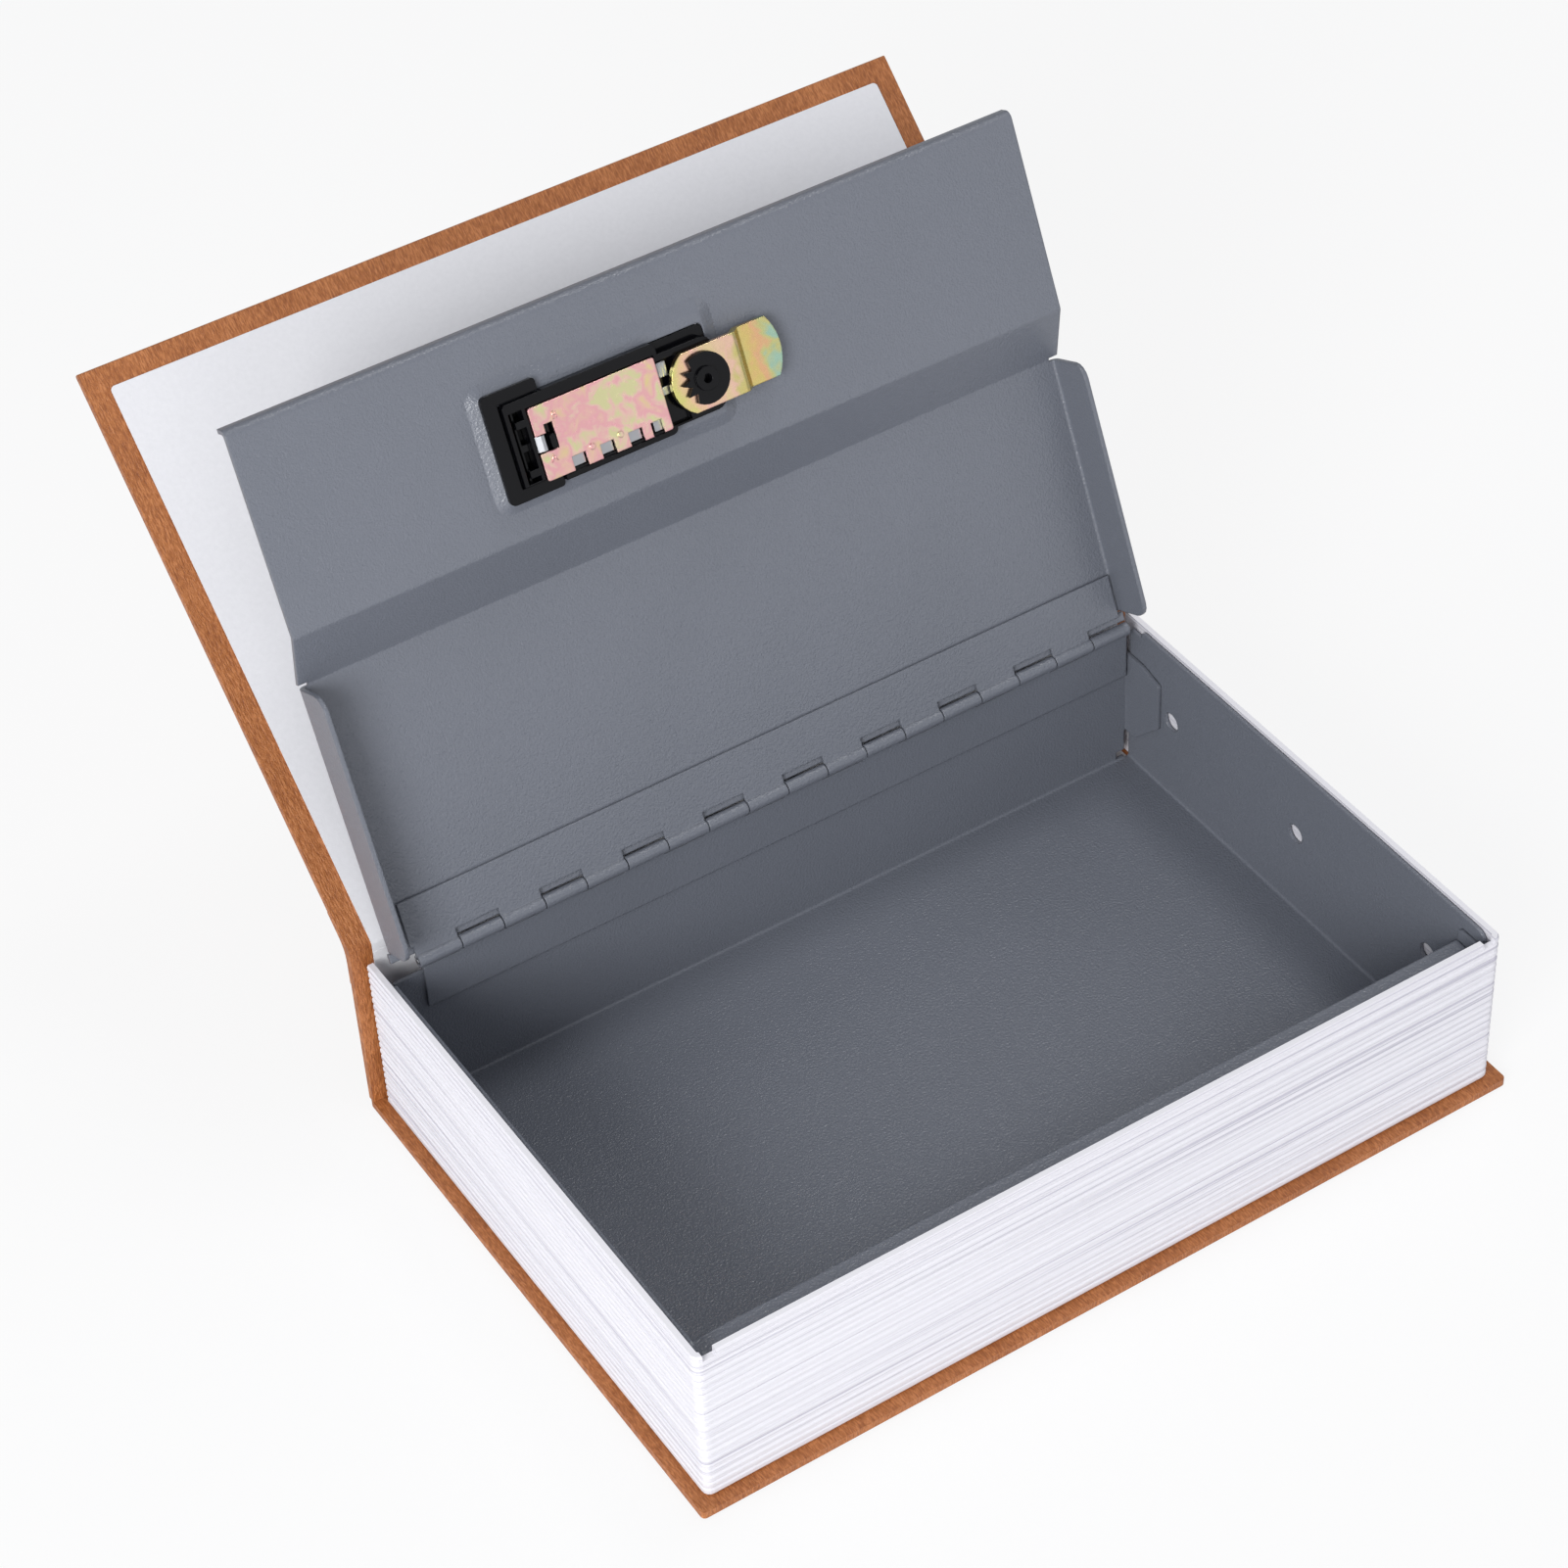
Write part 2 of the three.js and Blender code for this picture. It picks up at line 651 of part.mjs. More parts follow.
function makeHingePin() {
  const half = HINGE_LENGTH / 2 + CLEARANCE;
  return rod(HINGE_SHIFT - half, HINGE_SHIFT + half, 0, 0, PIN_RADIUS, BORE_STEPS);
}

// Steel lid in its own frame: Y away from the hinge, Z towards the inside of the box
function makeLidPanel() {
  const upperMiddle = lidMiddle + LID_STEP;
  const front = LID_DEPTH - LID_SHEET / 2;
  const profile = foldedOutline([
    corner(LID_START, lidMiddle),
    corner(STEP_START, lidMiddle),
    corner(STEP_END, upperMiddle),
    corner(front, upperMiddle),
    corner(front, upperMiddle - LIP_HEIGHT),
  ], LID_SHEET, LID_BEND);
  const sheet = alongX(profile, lidLeft, lidRight);
  const deep = LID_BEND + LID_SHEET;
  const notches = [lidLeft, lidRight].map((x) => (
    block(x - deep, x + deep, FLANGE_START - OVER, FLANGE_END + OVER, -lidReach - OVER, lidInner + OVER)
  ));
  const panel = join([cut(sheet, notches), makeLidFlanges()]);
  return cut(join([cut(panel, [fieldBody(0)]), fieldShell()]), [lockOpening()]);
}

// Both side flanges with the sheet between them, folded as a shallow channel
function makeLidFlanges() {
  const left = lidLeft + LID_SHEET / 2;
  const right = lidRight - LID_SHEET / 2;
  const channel = foldedOutline([
    corner(FLANGE_HEIGHT, left),
    corner(lidMiddle, left),
    corner(lidMiddle, right),
    corner(FLANGE_HEIGHT, right),
  ], LID_SHEET, LID_BEND);
  const side = softOutline([
    corner(FLANGE_START, -lidReach - OVER),
    corner(FLANGE_END, -lidReach - OVER),
    corner(FLANGE_END, FLANGE_HEIGHT),
    corner(FLANGE_START, FLANGE_HEIGHT),
  ], [0, 0, FLANGE_CORNER, FLANGE_CORNER]);
  return alongY(channel, FLANGE_START, FLANGE_END).intersect(alongX(side, -LID_WIDTH, LID_WIDTH));
}

// The raised field under the lock: a low frustum, cut hollow by a smaller one
function fieldBody(inset) {
  const base = lidMiddle + LID_STEP - LID_SHEET / 2 - inset;
  const bevel = FIELD_BEVEL;
  const outline = softRectangle(
    FIELD_LEFT + bevel + inset,
    FIELD_RIGHT - bevel - inset,
    LOCK_ALONG + FIELD_LOW + bevel + inset,
    LOCK_ALONG + FIELD_HIGH - bevel - inset,
    1,
  );
  const geometry = new THREE.ExtrudeGeometry(outline, {
    depth: LID_SHEET,
    bevelEnabled: true,
    bevelThickness: FIELD_RISE,
    bevelSize: bevel,
    bevelSegments: 1,
  });
  geometry.translate(0, 0, base);
  return solid(geometry).intersect(aboveLevel(base));
}

function aboveLevel(level) {
  const far = PAGE_LENGTH;
  return block(-far, far, -far, far, level, level + far);
}

function fieldShell() {
  return fieldBody(0).subtract(fieldBody(LID_SHEET));
}

function lockOpening() {
  const gap = CLEARANCE;
  const outline = softRectangle(
    HOUSING_LEFT - gap,
    NECK_RIGHT + gap,
    LOCK_ALONG + NECK_LOW - gap,
    LOCK_ALONG + NECK_HIGH + gap,
    HOUSING_CORNER,
  );
  return raised(outline, lidInner, fieldTop + LID_SHEET);
}

// Lock in its own frame: X along the hinge, Y away from the hinge, Z up from the raised field
function wheelX(index) {
  return WHEEL_FIRST + index * WHEEL_PITCH;
}

function makeBezel() {
  const inset = FIELD_BEVEL + LID_SHEET + CLEARANCE;
  const left = FIELD_LEFT + inset;
  const right = FIELD_RIGHT - inset;
  const outline = softRectangle(left, right, FIELD_LOW + inset, FIELD_HIGH - inset, BEZEL_CORNER);
  const floor = bezelFace + BEZEL_FACE;
  const well = block(wellLeft, wellRight, -wellHalf, wellHalf, floor, bezelTop + OVER);
  const spindle = raised(roundOutline(LATCH_X, 0, spindleBore), bezelFace - OVER, bezelTop + OVER);
  return cut(raised(outline, bezelFace, bezelTop), [well, spindle, axleSeat(), ...wheelSlots()]);
}

// Slots in the face of the bezel, as long as the chord of the wheel that shows through
function wheelSlots() {
  const drop = WHEEL_DEPTH + bezelFace + BEZEL_FACE;
  const half = Math.sqrt(WHEEL_RADIUS ** 2 - drop ** 2) + CLEARANCE;
  const side = WHEEL_WIDTH / 2 + CLEARANCE;
  const slots = [];
  for (let index = 0; index < WHEEL_COUNT; index += 1) {
    const x = wheelX(index);
    slots.push(block(x - side, x + side, -half, half, bezelFace - OVER, bezelTop));
  }
  return slots;
}

function axleSeat() {
  const left = wellLeft - AXLE_SEAT - CLEARANCE;
  const right = wellRight + AXLE_SEAT + CLEARANCE;
  const bore = AXLE_RADIUS + CLEARANCE;
  const slot = block(left, right, -bore, bore, -WHEEL_DEPTH, bezelTop + OVER);
  return rod(left, right, 0, -WHEEL_DEPTH, bore, BORE_STEPS).add(slot);
}

function makeHousing() {
  const sideLow = CLIP_LOW + CLIP_EAR_WIDTH + CLEARANCE;
  const sideHigh = CLIP_HIGH - CLIP_EAR_WIDTH - CLEARANCE;
  const under = bezelTop + CLEARANCE;
  const body = softRectangle(HOUSING_LEFT, HOUSING_RIGHT, HOUSING_LOW, HOUSING_HIGH, HOUSING_CORNER);
  const nose = softRectangle(HOUSING_STEP, NOSE_RIGHT, -NOSE_HALF_WIDTH, NOSE_HALF_WIDTH, NOSE_CORNER);
  const core = softRectangle(HOUSING_LEFT, HOUSING_RIGHT, NECK_LOW, NECK_HIGH, HOUSING_CORNER);
  const neck = softRectangle(HOUSING_LEFT, NECK_RIGHT, NECK_LOW, NECK_HIGH, HOUSING_CORNER);
  const plugRadius = NECK_RIGHT - LATCH_X;
  const whole = join([
    raised(body, CLEARANCE, HOUSING_HEIGHT),
    raised(nose, CLEARANCE, HOUSING_HEIGHT),
    raised(core, under, HOUSING_FLOOR),
    raised(neck, under, 0),
    raised(roundOutline(LATCH_X, 0, plugRadius), under, HOUSING_FLOOR),
  ]);
  const recessed = cut(whole, [...housingPockets(), ...clipRoom(sideLow, sideHigh), hookRecess()]);
  return join([recessed, ...housingHooks()]);
}

// The open recess beside the cover plate, down to the bezel
function hookRecess() {
  const left = HOUSING_LEFT + RECESS_WALL;
  const low = NECK_LOW + RECESS_WALL;
  const high = NECK_HIGH - RECESS_WALL * 2;
  return block(left, HOUSING_STEP, low, high, bezelTop, HOUSING_HEIGHT + OVER);
}

// Two hooks, a post between them and a thin rib stand in the recess
function housingHooks() {
  const under = bezelTop + CLEARANCE;
  const start = HOUSING_LEFT + RECESS_WALL * 2;
  const half = HOOK_WIDTH / 2;
  const hook = (y, top) => block(start, HOUSING_STEP + OVER, y - half, y + half, under, top);
  const ribLow = NECK_LOW + RECESS_WALL - CLEARANCE;
  const ribHigh = NECK_HIGH - RECESS_WALL * 2 + CLEARANCE;
  const rib = block(start, start + RIB_THICKNESS, ribLow, ribHigh, under, HOUSING_FLOOR);
  return [hook(-HOOK_SPREAD, HOUSING_HEIGHT), hook(0, HOUSING_FLOOR), hook(HOOK_SPREAD, HOUSING_HEIGHT), rib];
}

function housingPockets() {
  const gap = CLEARANCE;
  const over = HOUSING_HEIGHT + OVER;
  const plateRoom = block(
    PLATE_LEFT - gap,
    plateRight + gap,
    -plateHalf - gap,
    plateHalf + gap,
    plateBottom - gap,
    over,
  );
  const hubRoom = raised(roundOutline(LATCH_X, 0, HUB_RADIUS + gap * 2), HOUSING_FLOOR, over);
  const slideRoom = block(
    PLATE_LEFT - gap,
    LATCH_X - HUB_RADIUS + gap,
    POCKET_LOW,
    POCKET_HALF_WIDTH,
    HOUSING_FLOOR,
    over,
  );
  const well = block(wellLeft, wellRight, -wellHalf, wellHalf, bezelTop, HOUSING_FLOOR + gap);
  const gripRoom = block(
    plateRight,
    plateRight + GRIP_LENGTH + SLIDE_TRAVEL + gap * 2,
    GRIP_LOW - gap,
    GRIP_HIGH + gap,
    HOUSING_FLOOR,
    over,
  );
  const spindle = raised(roundOutline(LATCH_X, 0, spindleBore), bezelTop, over);
  return [plateRoom, hubRoom, slideRoom, well, gripRoom, spindle];
}

// The housing is narrower between the ears of the clip
function clipRoom(sideLow, sideHigh) {
  const right = CLIP_EAR_END + CLEARANCE;
  const left = HOUSING_LEFT - OVER;
  const top = HOUSING_HEIGHT + OVER;
  return [
    block(left, right, FIELD_LOW, sideLow, 0, top),
    block(left, right, sideHigh, FIELD_HIGH, 0, top),
    block(PLATE_LEFT, right, FIELD_LOW, POCKET_LOW, plateBottom - CLEARANCE, top),
  ];
}

function makeClip() {
  const outer = softOutline([
    corner(CLIP_LEFT, CLIP_LOW),
    corner(CLIP_EAR_END, CLIP_LOW),
    corner(CLIP_EAR_END, CLIP_HIGH),
    corner(CLIP_LEFT, CLIP_HIGH),
  ], [HOUSING_CORNER, 1, 1, HOUSING_CORNER]);
  const room = block(
    CLIP_LEFT + CLIP_BASE_WIDTH,
    CLIP_EAR_END + OVER,
    CLIP_LOW + CLIP_EAR_WIDTH,
    CLIP_HIGH - CLIP_EAR_WIDTH,
    0,
    CLIP_THICKNESS + OVER,
  );
  return cut(raised(outer, CLEARANCE, CLEARANCE + CLIP_THICKNESS), [room]);
}

function makeCoverPlate() {
  const plate = raised(
    softRectangle(PLATE_LEFT, plateRight, -plateHalf, plateHalf, PLATE_CORNER),
    plateBottom,
    plateTop,
  );
  const tabs = [-1, 1].map((side) => {
    const middle = side * (POCKET_HALF_WIDTH - CLEARANCE - PLATE_TAB_WIDTH / 2);
    const half = PLATE_TAB_WIDTH / 2;
    const bottom = plateBottom - PLATE_TAB_DEPTH + CLEARANCE;
    return block(PLATE_LEFT, PLATE_LEFT + PLATE_THICKNESS, middle - half, middle + half, bottom, plateTop);
  });
  return cut(join([plate, ...tabs, ...plateStuds()]), [...plateWindows(), ...leverSlot()]);
}

// Two small studs between the windows
function plateStuds() {
  return [0.5, 1.5].map((place) => {
    const outline = roundOutline(WINDOW_FIRST + place * WHEEL_PITCH, STUD_ALONG, STUD_RADIUS, BORE_STEPS);
    return raised(outline, plateBottom + CLEARANCE, plateTop + STUD_HEIGHT);
  });
}

function plateWindows() {
  const below = plateBottom - PLATE_TAB_DEPTH - OVER;
  const above = plateTop + OVER;
  const places = [0, 1, 2].map((index) => ({ x: WINDOW_FIRST + index * WHEEL_PITCH, width: WINDOW_WIDTH }));
  places.push({ x: LAST_WINDOW, width: LAST_WINDOW_WIDTH });
  return places.map(({ x, width }) => (
    block(x - width / 2, x + width / 2, -plateHalf - OVER, WINDOW_DEPTH - plateHalf, below, above)
  ));
}

// The slot of the reset lever: a channel from the left edge and a longer slot across it
function leverSlot() {
  const below = plateBottom - PLATE_TAB_DEPTH - OVER;
  const above = plateTop + OVER;
  const slotLeft = LEVER_LEFT - CLEARANCE * 1.5;
  const slotRight = LEVER_LEFT + LEVER_WIDTH + CLEARANCE * 1.5;
  return [
    block(PLATE_LEFT - OVER, slotLeft + OVER, CHANNEL_LOW, CHANNEL_HIGH, below, above),
    block(slotLeft, slotRight, CHANNEL_LOW, SLOT_HIGH, below, above),
  ];
}

function makeResetLever() {
  const outline = softRectangle(
    LEVER_LEFT,
    LEVER_LEFT + LEVER_WIDTH,
    LEVER_START,
    LEVER_START + LEVER_LENGTH,
    LEVER_END_RADIUS,
  );
  return raised(outline, slideBottom, plateTop + LEVER_STAND);
}

function makeResetShoe() {
  const gap = CLEARANCE;
  const right = LEVER_LEFT - gap * 3;
  return alongY(softOutline([
    corner(slideBottom, PLATE_LEFT),
    corner(slideTop, PLATE_LEFT),
    corner(plateTop - gap, right - 1),
    corner(plateTop - gap, right),
    corner(slideBottom, right),
  ], SHOE_CORNER), CHANNEL_LOW + gap, CHANNEL_HIGH - gap);
}

// Slide: a comb that shows in the windows, a yoke at its right end, a grip and a nose on the hub
function makeSlide() {
  const combHigh = -Math.sqrt(WHEEL_RADIUS ** 2 - (slideBottom + WHEEL_DEPTH) ** 2) - CLEARANCE * 2;
  const combLow = POCKET_LOW + CLEARANCE;
  const yokeRight = plateRight - CLEARANCE;
  const yokeLeft = wellRight + CLEARANCE;
  const half = SLIDE_TOOTH_WIDTH / 2;
  const nose = SLIDE_NOSE_WIDTH / 2;
  const noseEnd = LATCH_X - HUB_RADIUS - CLEARANCE * 1.5;
  const rail = (combLow + combHigh) / 2;
  const parts = [
    block(WINDOW_FIRST - half, yokeRight, rail, combHigh, slideBottom, slideTop),
    block(yokeLeft, yokeRight, combLow, GRIP_HIGH, slideBottom, slideTop),
    block(yokeLeft + nose, yokeRight + GRIP_LENGTH, GRIP_LOW, GRIP_HIGH, slideBottom, slideTop),
    raised(softRectangle(yokeLeft + nose, noseEnd, -nose, nose, nose / 2), slideBottom, slideTop),
  ];
  for (let tooth = 0; tooth < WHEEL_COUNT; tooth += 1) {
    const x = WINDOW_FIRST + tooth * WHEEL_PITCH;
    parts.push(block(x - half, x + half, combLow, combHigh, slideBottom, slideTop));
  }
  return cut(join(parts), gripGrooves(yokeRight));
}

function gripGrooves(start) {
  const pitch = GRIP_LENGTH / 4;
  return [1, 2, 3].map((groove) => {
    const x = start + groove * pitch;
    const floor = slideTop - CLEARANCE;
    return block(x - pitch / 4, x + pitch / 4, GRIP_LOW - OVER, GRIP_HIGH + OVER, floor, slideTop + OVER);
  });
}

// Wheels, their sleeves and the axle
function makeWheel(index) {
  const points = [];
  const step = (2 * Math.PI) / WHEEL_DIGITS;
  for (let digit = 0; digit < WHEEL_DIGITS; digit += 1) {
    const angle = digit * step;
    const place = (turn, radius) => {
      const around = angle + turn * step;
      return corner(radius * Math.cos(around), radius * Math.sin(around) - WHEEL_DEPTH);
    };
    points.push(place(-WHEEL_FLAT, WHEEL_RADIUS), place(WHEEL_FLAT, WHEEL_RADIUS));
    points.push(place(1 / 2, WHEEL_RADIUS - WHEEL_GROOVE));
  }
  const x = wheelX(index);
  const half = WHEEL_WIDTH / 2;
  const bore = rod(x - half - OVER, x + half + OVER, 0, -WHEEL_DEPTH, SLEEVE_RADIUS + CLEARANCE, BARREL_STEPS);
  return cut(alongX(new THREE.Shape(points), x - half, x + half), [bore]);
}

function makeSleeve(index) {
  const x = wheelX(index);
  const right = x + WHEEL_WIDTH / 2;
  const left = x - sleeveLeft;
  const flangeRight = left + SLEEVE_FLANGE_WIDTH;
  const tube = rod(left, right, 0, -WHEEL_DEPTH, SLEEVE_RADIUS, BARREL_STEPS);
  const flange = rod(left, flangeRight, 0, -WHEEL_DEPTH, SLEEVE_FLANGE_RADIUS, BARREL_STEPS);
  const bore = rod(left - OVER, right + OVER, 0, -WHEEL_DEPTH, AXLE_RADIUS + CLEARANCE, BORE_STEPS);
  const gateFloor = SLEEVE_RADIUS - WHEEL_DEPTH + CLEARANCE;
  const half = GATE_WIDTH / 2;
  const gate = block(left - OVER, flangeRight, -half, half, gateFloor, OVER);
  return cut(join([tube, flange]), [bore, gate]);
}

function makeAxle() {
  return rod(wellLeft - AXLE_SEAT, wellRight + AXLE_SEAT, 0, -WHEEL_DEPTH, AXLE_RADIUS, BORE_STEPS);
}

function makeDetentSpring() {
  const y = wellHalf - CLEARANCE - SPRING_THICKNESS;
  const left = wellLeft + CLEARANCE;
  const right = wellRight - CLEARANCE;
  const top = bezelTop + SPRING_STRIP;
  const tip = bezelFace + BEZEL_FACE + CLEARANCE;
  const parts = [block(left, right, y, y + SPRING_THICKNESS, top - SPRING_STRIP, top)];
  for (let index = 0; index < WHEEL_COUNT; index += 1) {
    const x = wheelX(index);
    const half = SPRING_FINGER_WIDTH / 2;
    parts.push(block(x - half, x + half, y, y + SPRING_THICKNESS, tip, top));
  }
  return join(parts);
}

// Latch in its own frame: the turning axis along Z, the tongue along X
function makeKnob() {
  const top = bezelFace - CLEARANCE;
  const face = top - KNOB_HEIGHT;
  const shell = [
    corner(0, face),
    corner(KNOB_RADIUS - KNOB_EDGE, face),
    corner(KNOB_RADIUS, face + KNOB_EDGE),
    corner(KNOB_RADIUS, top),
    corner(0, top),
  ];
  const geometry = new THREE.LatheGeometry(shell, ROUND_STEPS);
  geometry.rotateX(Math.PI / 2);
  const head = solid(geometry);
  const spindle = raised(roundOutline(0, 0, SPINDLE_RADIUS), top - OVER, camTop);
  const far = KNOB_RADIUS * 2;
  const half = KNOB_GRIP_WIDTH / 2;
  const scoopTop = top - KNOB_SCOOP;
  const scoops = [
    block(-far, far, half, far, face - OVER, scoopTop),
    block(-far, far, -far, -half, face - OVER, scoopTop),
  ];
  return join([cut(head, scoops), spindle]);
}

// The hub draws the slide along: its radius falls steadily over the quarter turn of the latch
function makeHub() {
  const points = [];
  for (let step = 0; step < HUB_STEPS; step += 1) {
    const angle = (2 * Math.PI * step) / HUB_STEPS;
    const share = THREE.MathUtils.clamp((Math.PI - angle) / (Math.PI / 2), 0, 1);
    const radius = HUB_RADIUS - SLIDE_TRAVEL * share;
    points.push(corner(radius * Math.cos(angle), radius * Math.sin(angle)));
  }
  const body = raised(new THREE.Shape(points), slideBottom, HOUSING_HEIGHT);
  return cut(body, [raised(roundOutline(0, 0, spindleBore), 0, camBottom)]);
}

function makeCam() {
  const middle = camBottom + CAM_THICKNESS / 2;
  const low = middle - CAM_DROP;
  const side = foldedOutline([
    corner(middle, -CAM_END_RADIUS - OVER),
    corner(middle, CAM_BEND_START),
    corner(low, CAM_BEND_START + CAM_BEND_LENGTH),
    corner(low, TONGUE_REACH + OVER),
  ], CAM_THICKNESS, CAM_BEND_RADIUS);
  const band = alongY(side, -CAM_HALF_WIDTH, CAM_HALF_WIDTH);
  const plan = raised(camOutline(), 0, camTop + OVER);
  return cut(band.intersect(plan), [raised(roundOutline(0, 0, spindleBore), 0, camTop + OVER)]);
}

function camOutline() {
  const points = [];
  const steps = ROUND_STEPS / 2;
  const arc = (centre, radius, turn) => {
    const half = Math.asin(CAM_HALF_WIDTH / radius);
    for (let step = 0; step <= steps; step += 1) {
      const angle = turn - half + (2 * half * step) / steps;
      points.push(corner(centre + radius * Math.cos(angle), radius * Math.sin(angle)));
    }
  };
  arc(TONGUE_REACH - CAM_TIP_RADIUS, CAM_TIP_RADIUS, 0);
  arc(0, CAM_END_RADIUS, Math.PI);
  return new THREE.Shape(points);
}

// A black disc whose left side is cut back in a zigzag of claws, with a low hub
function makeRetainer() {
  const bottom = camTop + CLEARANCE;
  const top = bottom + RETAINER_THICKNESS;
  const hubTop = top + RETAINER_HUB_HEIGHT;
  const points = [];
  const sector = radians(CLAW_SECTOR);
  const steps = ROUND_STEPS;
  for (let step = 0; step < steps; step += 1) {
    const angle = sector / 2 + ((2 * Math.PI - sector) * step) / steps - Math.PI;
    points.push(corner(RETAINER_RADIUS * Math.cos(angle), RETAINER_RADIUS * Math.sin(angle)));
  }
  const teeth = RETAINER_CLAWS * 2;
  for (let place = 0; place < teeth; place += 1) {
    const angle = Math.PI - sector / 2 + (sector * place) / teeth;
    const radius = place % 2 === 0 ? RETAINER_RADIUS : RETAINER_RADIUS - CLAW_DEPTH;
    points.push(corner(radius * Math.cos(angle), radius * Math.sin(angle)));
  }
  const disc = raised(new THREE.Shape(points), bottom, top);
  const hub = raised(roundOutline(0, 0, RETAINER_HUB_RADIUS), bottom, hubTop);
  return cut(disc.add(hub), [raised(roundOutline(0, 0, RETAINER_BORE, BORE_STEPS), bottom - OVER, hubTop + OVER)]);
}

// Materials
function finish(colour, roughness, metalness) {
  return () => new THREE.MeshStandardMaterial({ color: colour, roughness, metalness });
}

const leatherette = finish('#b0693a', 0.62, 0);
const endpaper = finish('#dcdce3', 0.9, 0);
const whitePlastic = finish('#ece9f3', 0.5, 0);
const greyPaint = finish('#7f858f', 0.45, 0.1);
const brightSteel = finish('#b9bcc2', 0.3, 1);
const yellowZinc = finish('#d8b878', 0.28, 1);
const blackPlastic = finish('#17181b', 0.35, 0);
const springSteel = finish('#8d9096', 0.35, 1);

function piece(name, shape, material) {
  const geometry = shape.isBufferGeometry ? shape : geometryOf(shape);
  const mesh = new THREE.Mesh(geometry, material());
  mesh.name = name;
  return mesh;
}

function together(members) {
  const group = new THREE.Group();
  group.add(...members);
  return group;
}

function at(object, x, y, z) {
  object.position.set(x, y, z);
  return object;
}

function buildHinge() {
  const members = [
    piece('box_hinge_leaf', makeBoxLeaf(), greyPaint),
    piece('hinge_pin', makeHingePin(), brightSteel),
  ];
  return at(together(members), 0, hingeY, hingeZ);
}

function buildWheels() {
  const members = [];
  for (let index = 0; index < WHEEL_COUNT; index += 1) {
    members.push(piece(`number_wheel_${index + 1}`, makeWheel(index), blackPlastic));
    members.push(piece(`wheel_sleeve_${index + 1}`, makeSleeve(index), yellowZinc));
  }
  return together(members);
}

function buildLatch() {
  const members = [
    piece('knob', makeKnob(), blackPlastic),
    piece('spiral_hub', makeHub(), brightSteel),
    piece('latch_cam', makeCam(), yellowZinc),
    piece('cam_retainer', makeRetainer(), blackPlastic),
  ];
  return at(together(members), LATCH_X, 0, 0);
}

function buildLock() {
  const members = [
    piece('lock_bezel', makeBezel(), blackPlastic),
    piece('lock_housing', makeHousing(), blackPlastic),
    piece('lock_clip', makeClip(), blackPlastic),
    piece('cover_plate', makeCoverPlate(), yellowZinc),
    piece('wheel_axle', makeAxle(), brightSteel),
    piece('detent_spring', makeDetentSpring(), springSteel),
    piece('reset_shoe', makeResetShoe(), brightSteel),
    piece('reset_lever', makeResetLever(), blackPlastic),
    piece('locking_slide', makeSlide(), brightSteel),
    buildWheels(),
    buildLatch(),
  ];
  return at(together(members), 0, LOCK_ALONG, fieldTop);
}

function buildLid() {
  const members = [
    piece('lid_panel', makeLidPanel(), greyPaint),
    piece('lid_hinge_leaf', makeLidLeaf(), greyPaint),
    buildLock(),
  ];
  const lid = at(together(members), 0, hingeY, hingeZ);
  lid.rotation.x = Math.PI - radians(LID_OPENING);
  return lid;
}

function buildFrontCover() {
  const members = [
    piece('front_cover_board', makeFrontCoverBoard(), leatherette),
    piece('front_endpaper', makeFrontEndpaper(), endpaper),
  ];
  const cover = at(together(members), 0, coverAxisY, coverAxisZ);
  cover.rotation.x = Math.PI - radians(COVER_OPENING);
  return cover;
}

function buildBox() {
  return together([
    piece('back_cover', makeBackCover(), leatherette),
    piece('spine', makeSpine(), leatherette),
    piece('spine_endpaper', makeSpineEndpaper(), endpaper),
    piece('page_block', makePageBlock(), whitePlastic),
    piece('steel_tray', makeSteelTray(), greyPaint),
  ]);
}

const bookSafe = together([buildBox(), buildHinge(), buildLid(), buildFrontCover()]);

export default bookSafe;
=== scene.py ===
import json
import math

import bmesh
import bpy
from mathutils import Matrix, Vector


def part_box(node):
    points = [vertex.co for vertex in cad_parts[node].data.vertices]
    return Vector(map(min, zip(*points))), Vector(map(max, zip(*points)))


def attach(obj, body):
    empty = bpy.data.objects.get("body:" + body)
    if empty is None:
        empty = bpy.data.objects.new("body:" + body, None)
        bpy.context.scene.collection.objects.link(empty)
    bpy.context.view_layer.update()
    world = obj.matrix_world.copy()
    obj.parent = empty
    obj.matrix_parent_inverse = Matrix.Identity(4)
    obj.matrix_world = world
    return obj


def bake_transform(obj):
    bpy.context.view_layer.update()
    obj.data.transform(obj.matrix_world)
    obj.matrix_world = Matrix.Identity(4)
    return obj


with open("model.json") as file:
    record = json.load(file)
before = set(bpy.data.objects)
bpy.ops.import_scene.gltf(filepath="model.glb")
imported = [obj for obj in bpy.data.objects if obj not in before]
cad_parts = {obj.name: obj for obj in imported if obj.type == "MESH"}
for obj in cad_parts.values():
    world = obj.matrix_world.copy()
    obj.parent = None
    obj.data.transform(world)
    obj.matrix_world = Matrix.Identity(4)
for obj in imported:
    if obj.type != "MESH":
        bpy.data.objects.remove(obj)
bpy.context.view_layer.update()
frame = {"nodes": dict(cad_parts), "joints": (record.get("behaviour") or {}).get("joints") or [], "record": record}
nodes = frame["nodes"]
joints = {joint["name"]: joint for joint in frame["joints"]}
MM = 0.001


def in_mm(metres):
    """A measure of the frame in millimetres, to a thousandth."""
    return round(metres / MM, 3)


# Camera at the photograph's place: metres and degrees, with lens and sensor in millimetres
CAMERA_PLACE = (-0.3976, -0.6091, 0.7763)
CAMERA_AZIMUTH = -30.465
CAMERA_TILT = 47.509
CAMERA_ROLL = -3.503
CAMERA_LENS = 95.55
CAMERA_SENSOR = 36
CAMERA_FAR = 50

# Angle in degrees over which the front cover shuts, as in the CAD
COVER_OPENING = 136.9

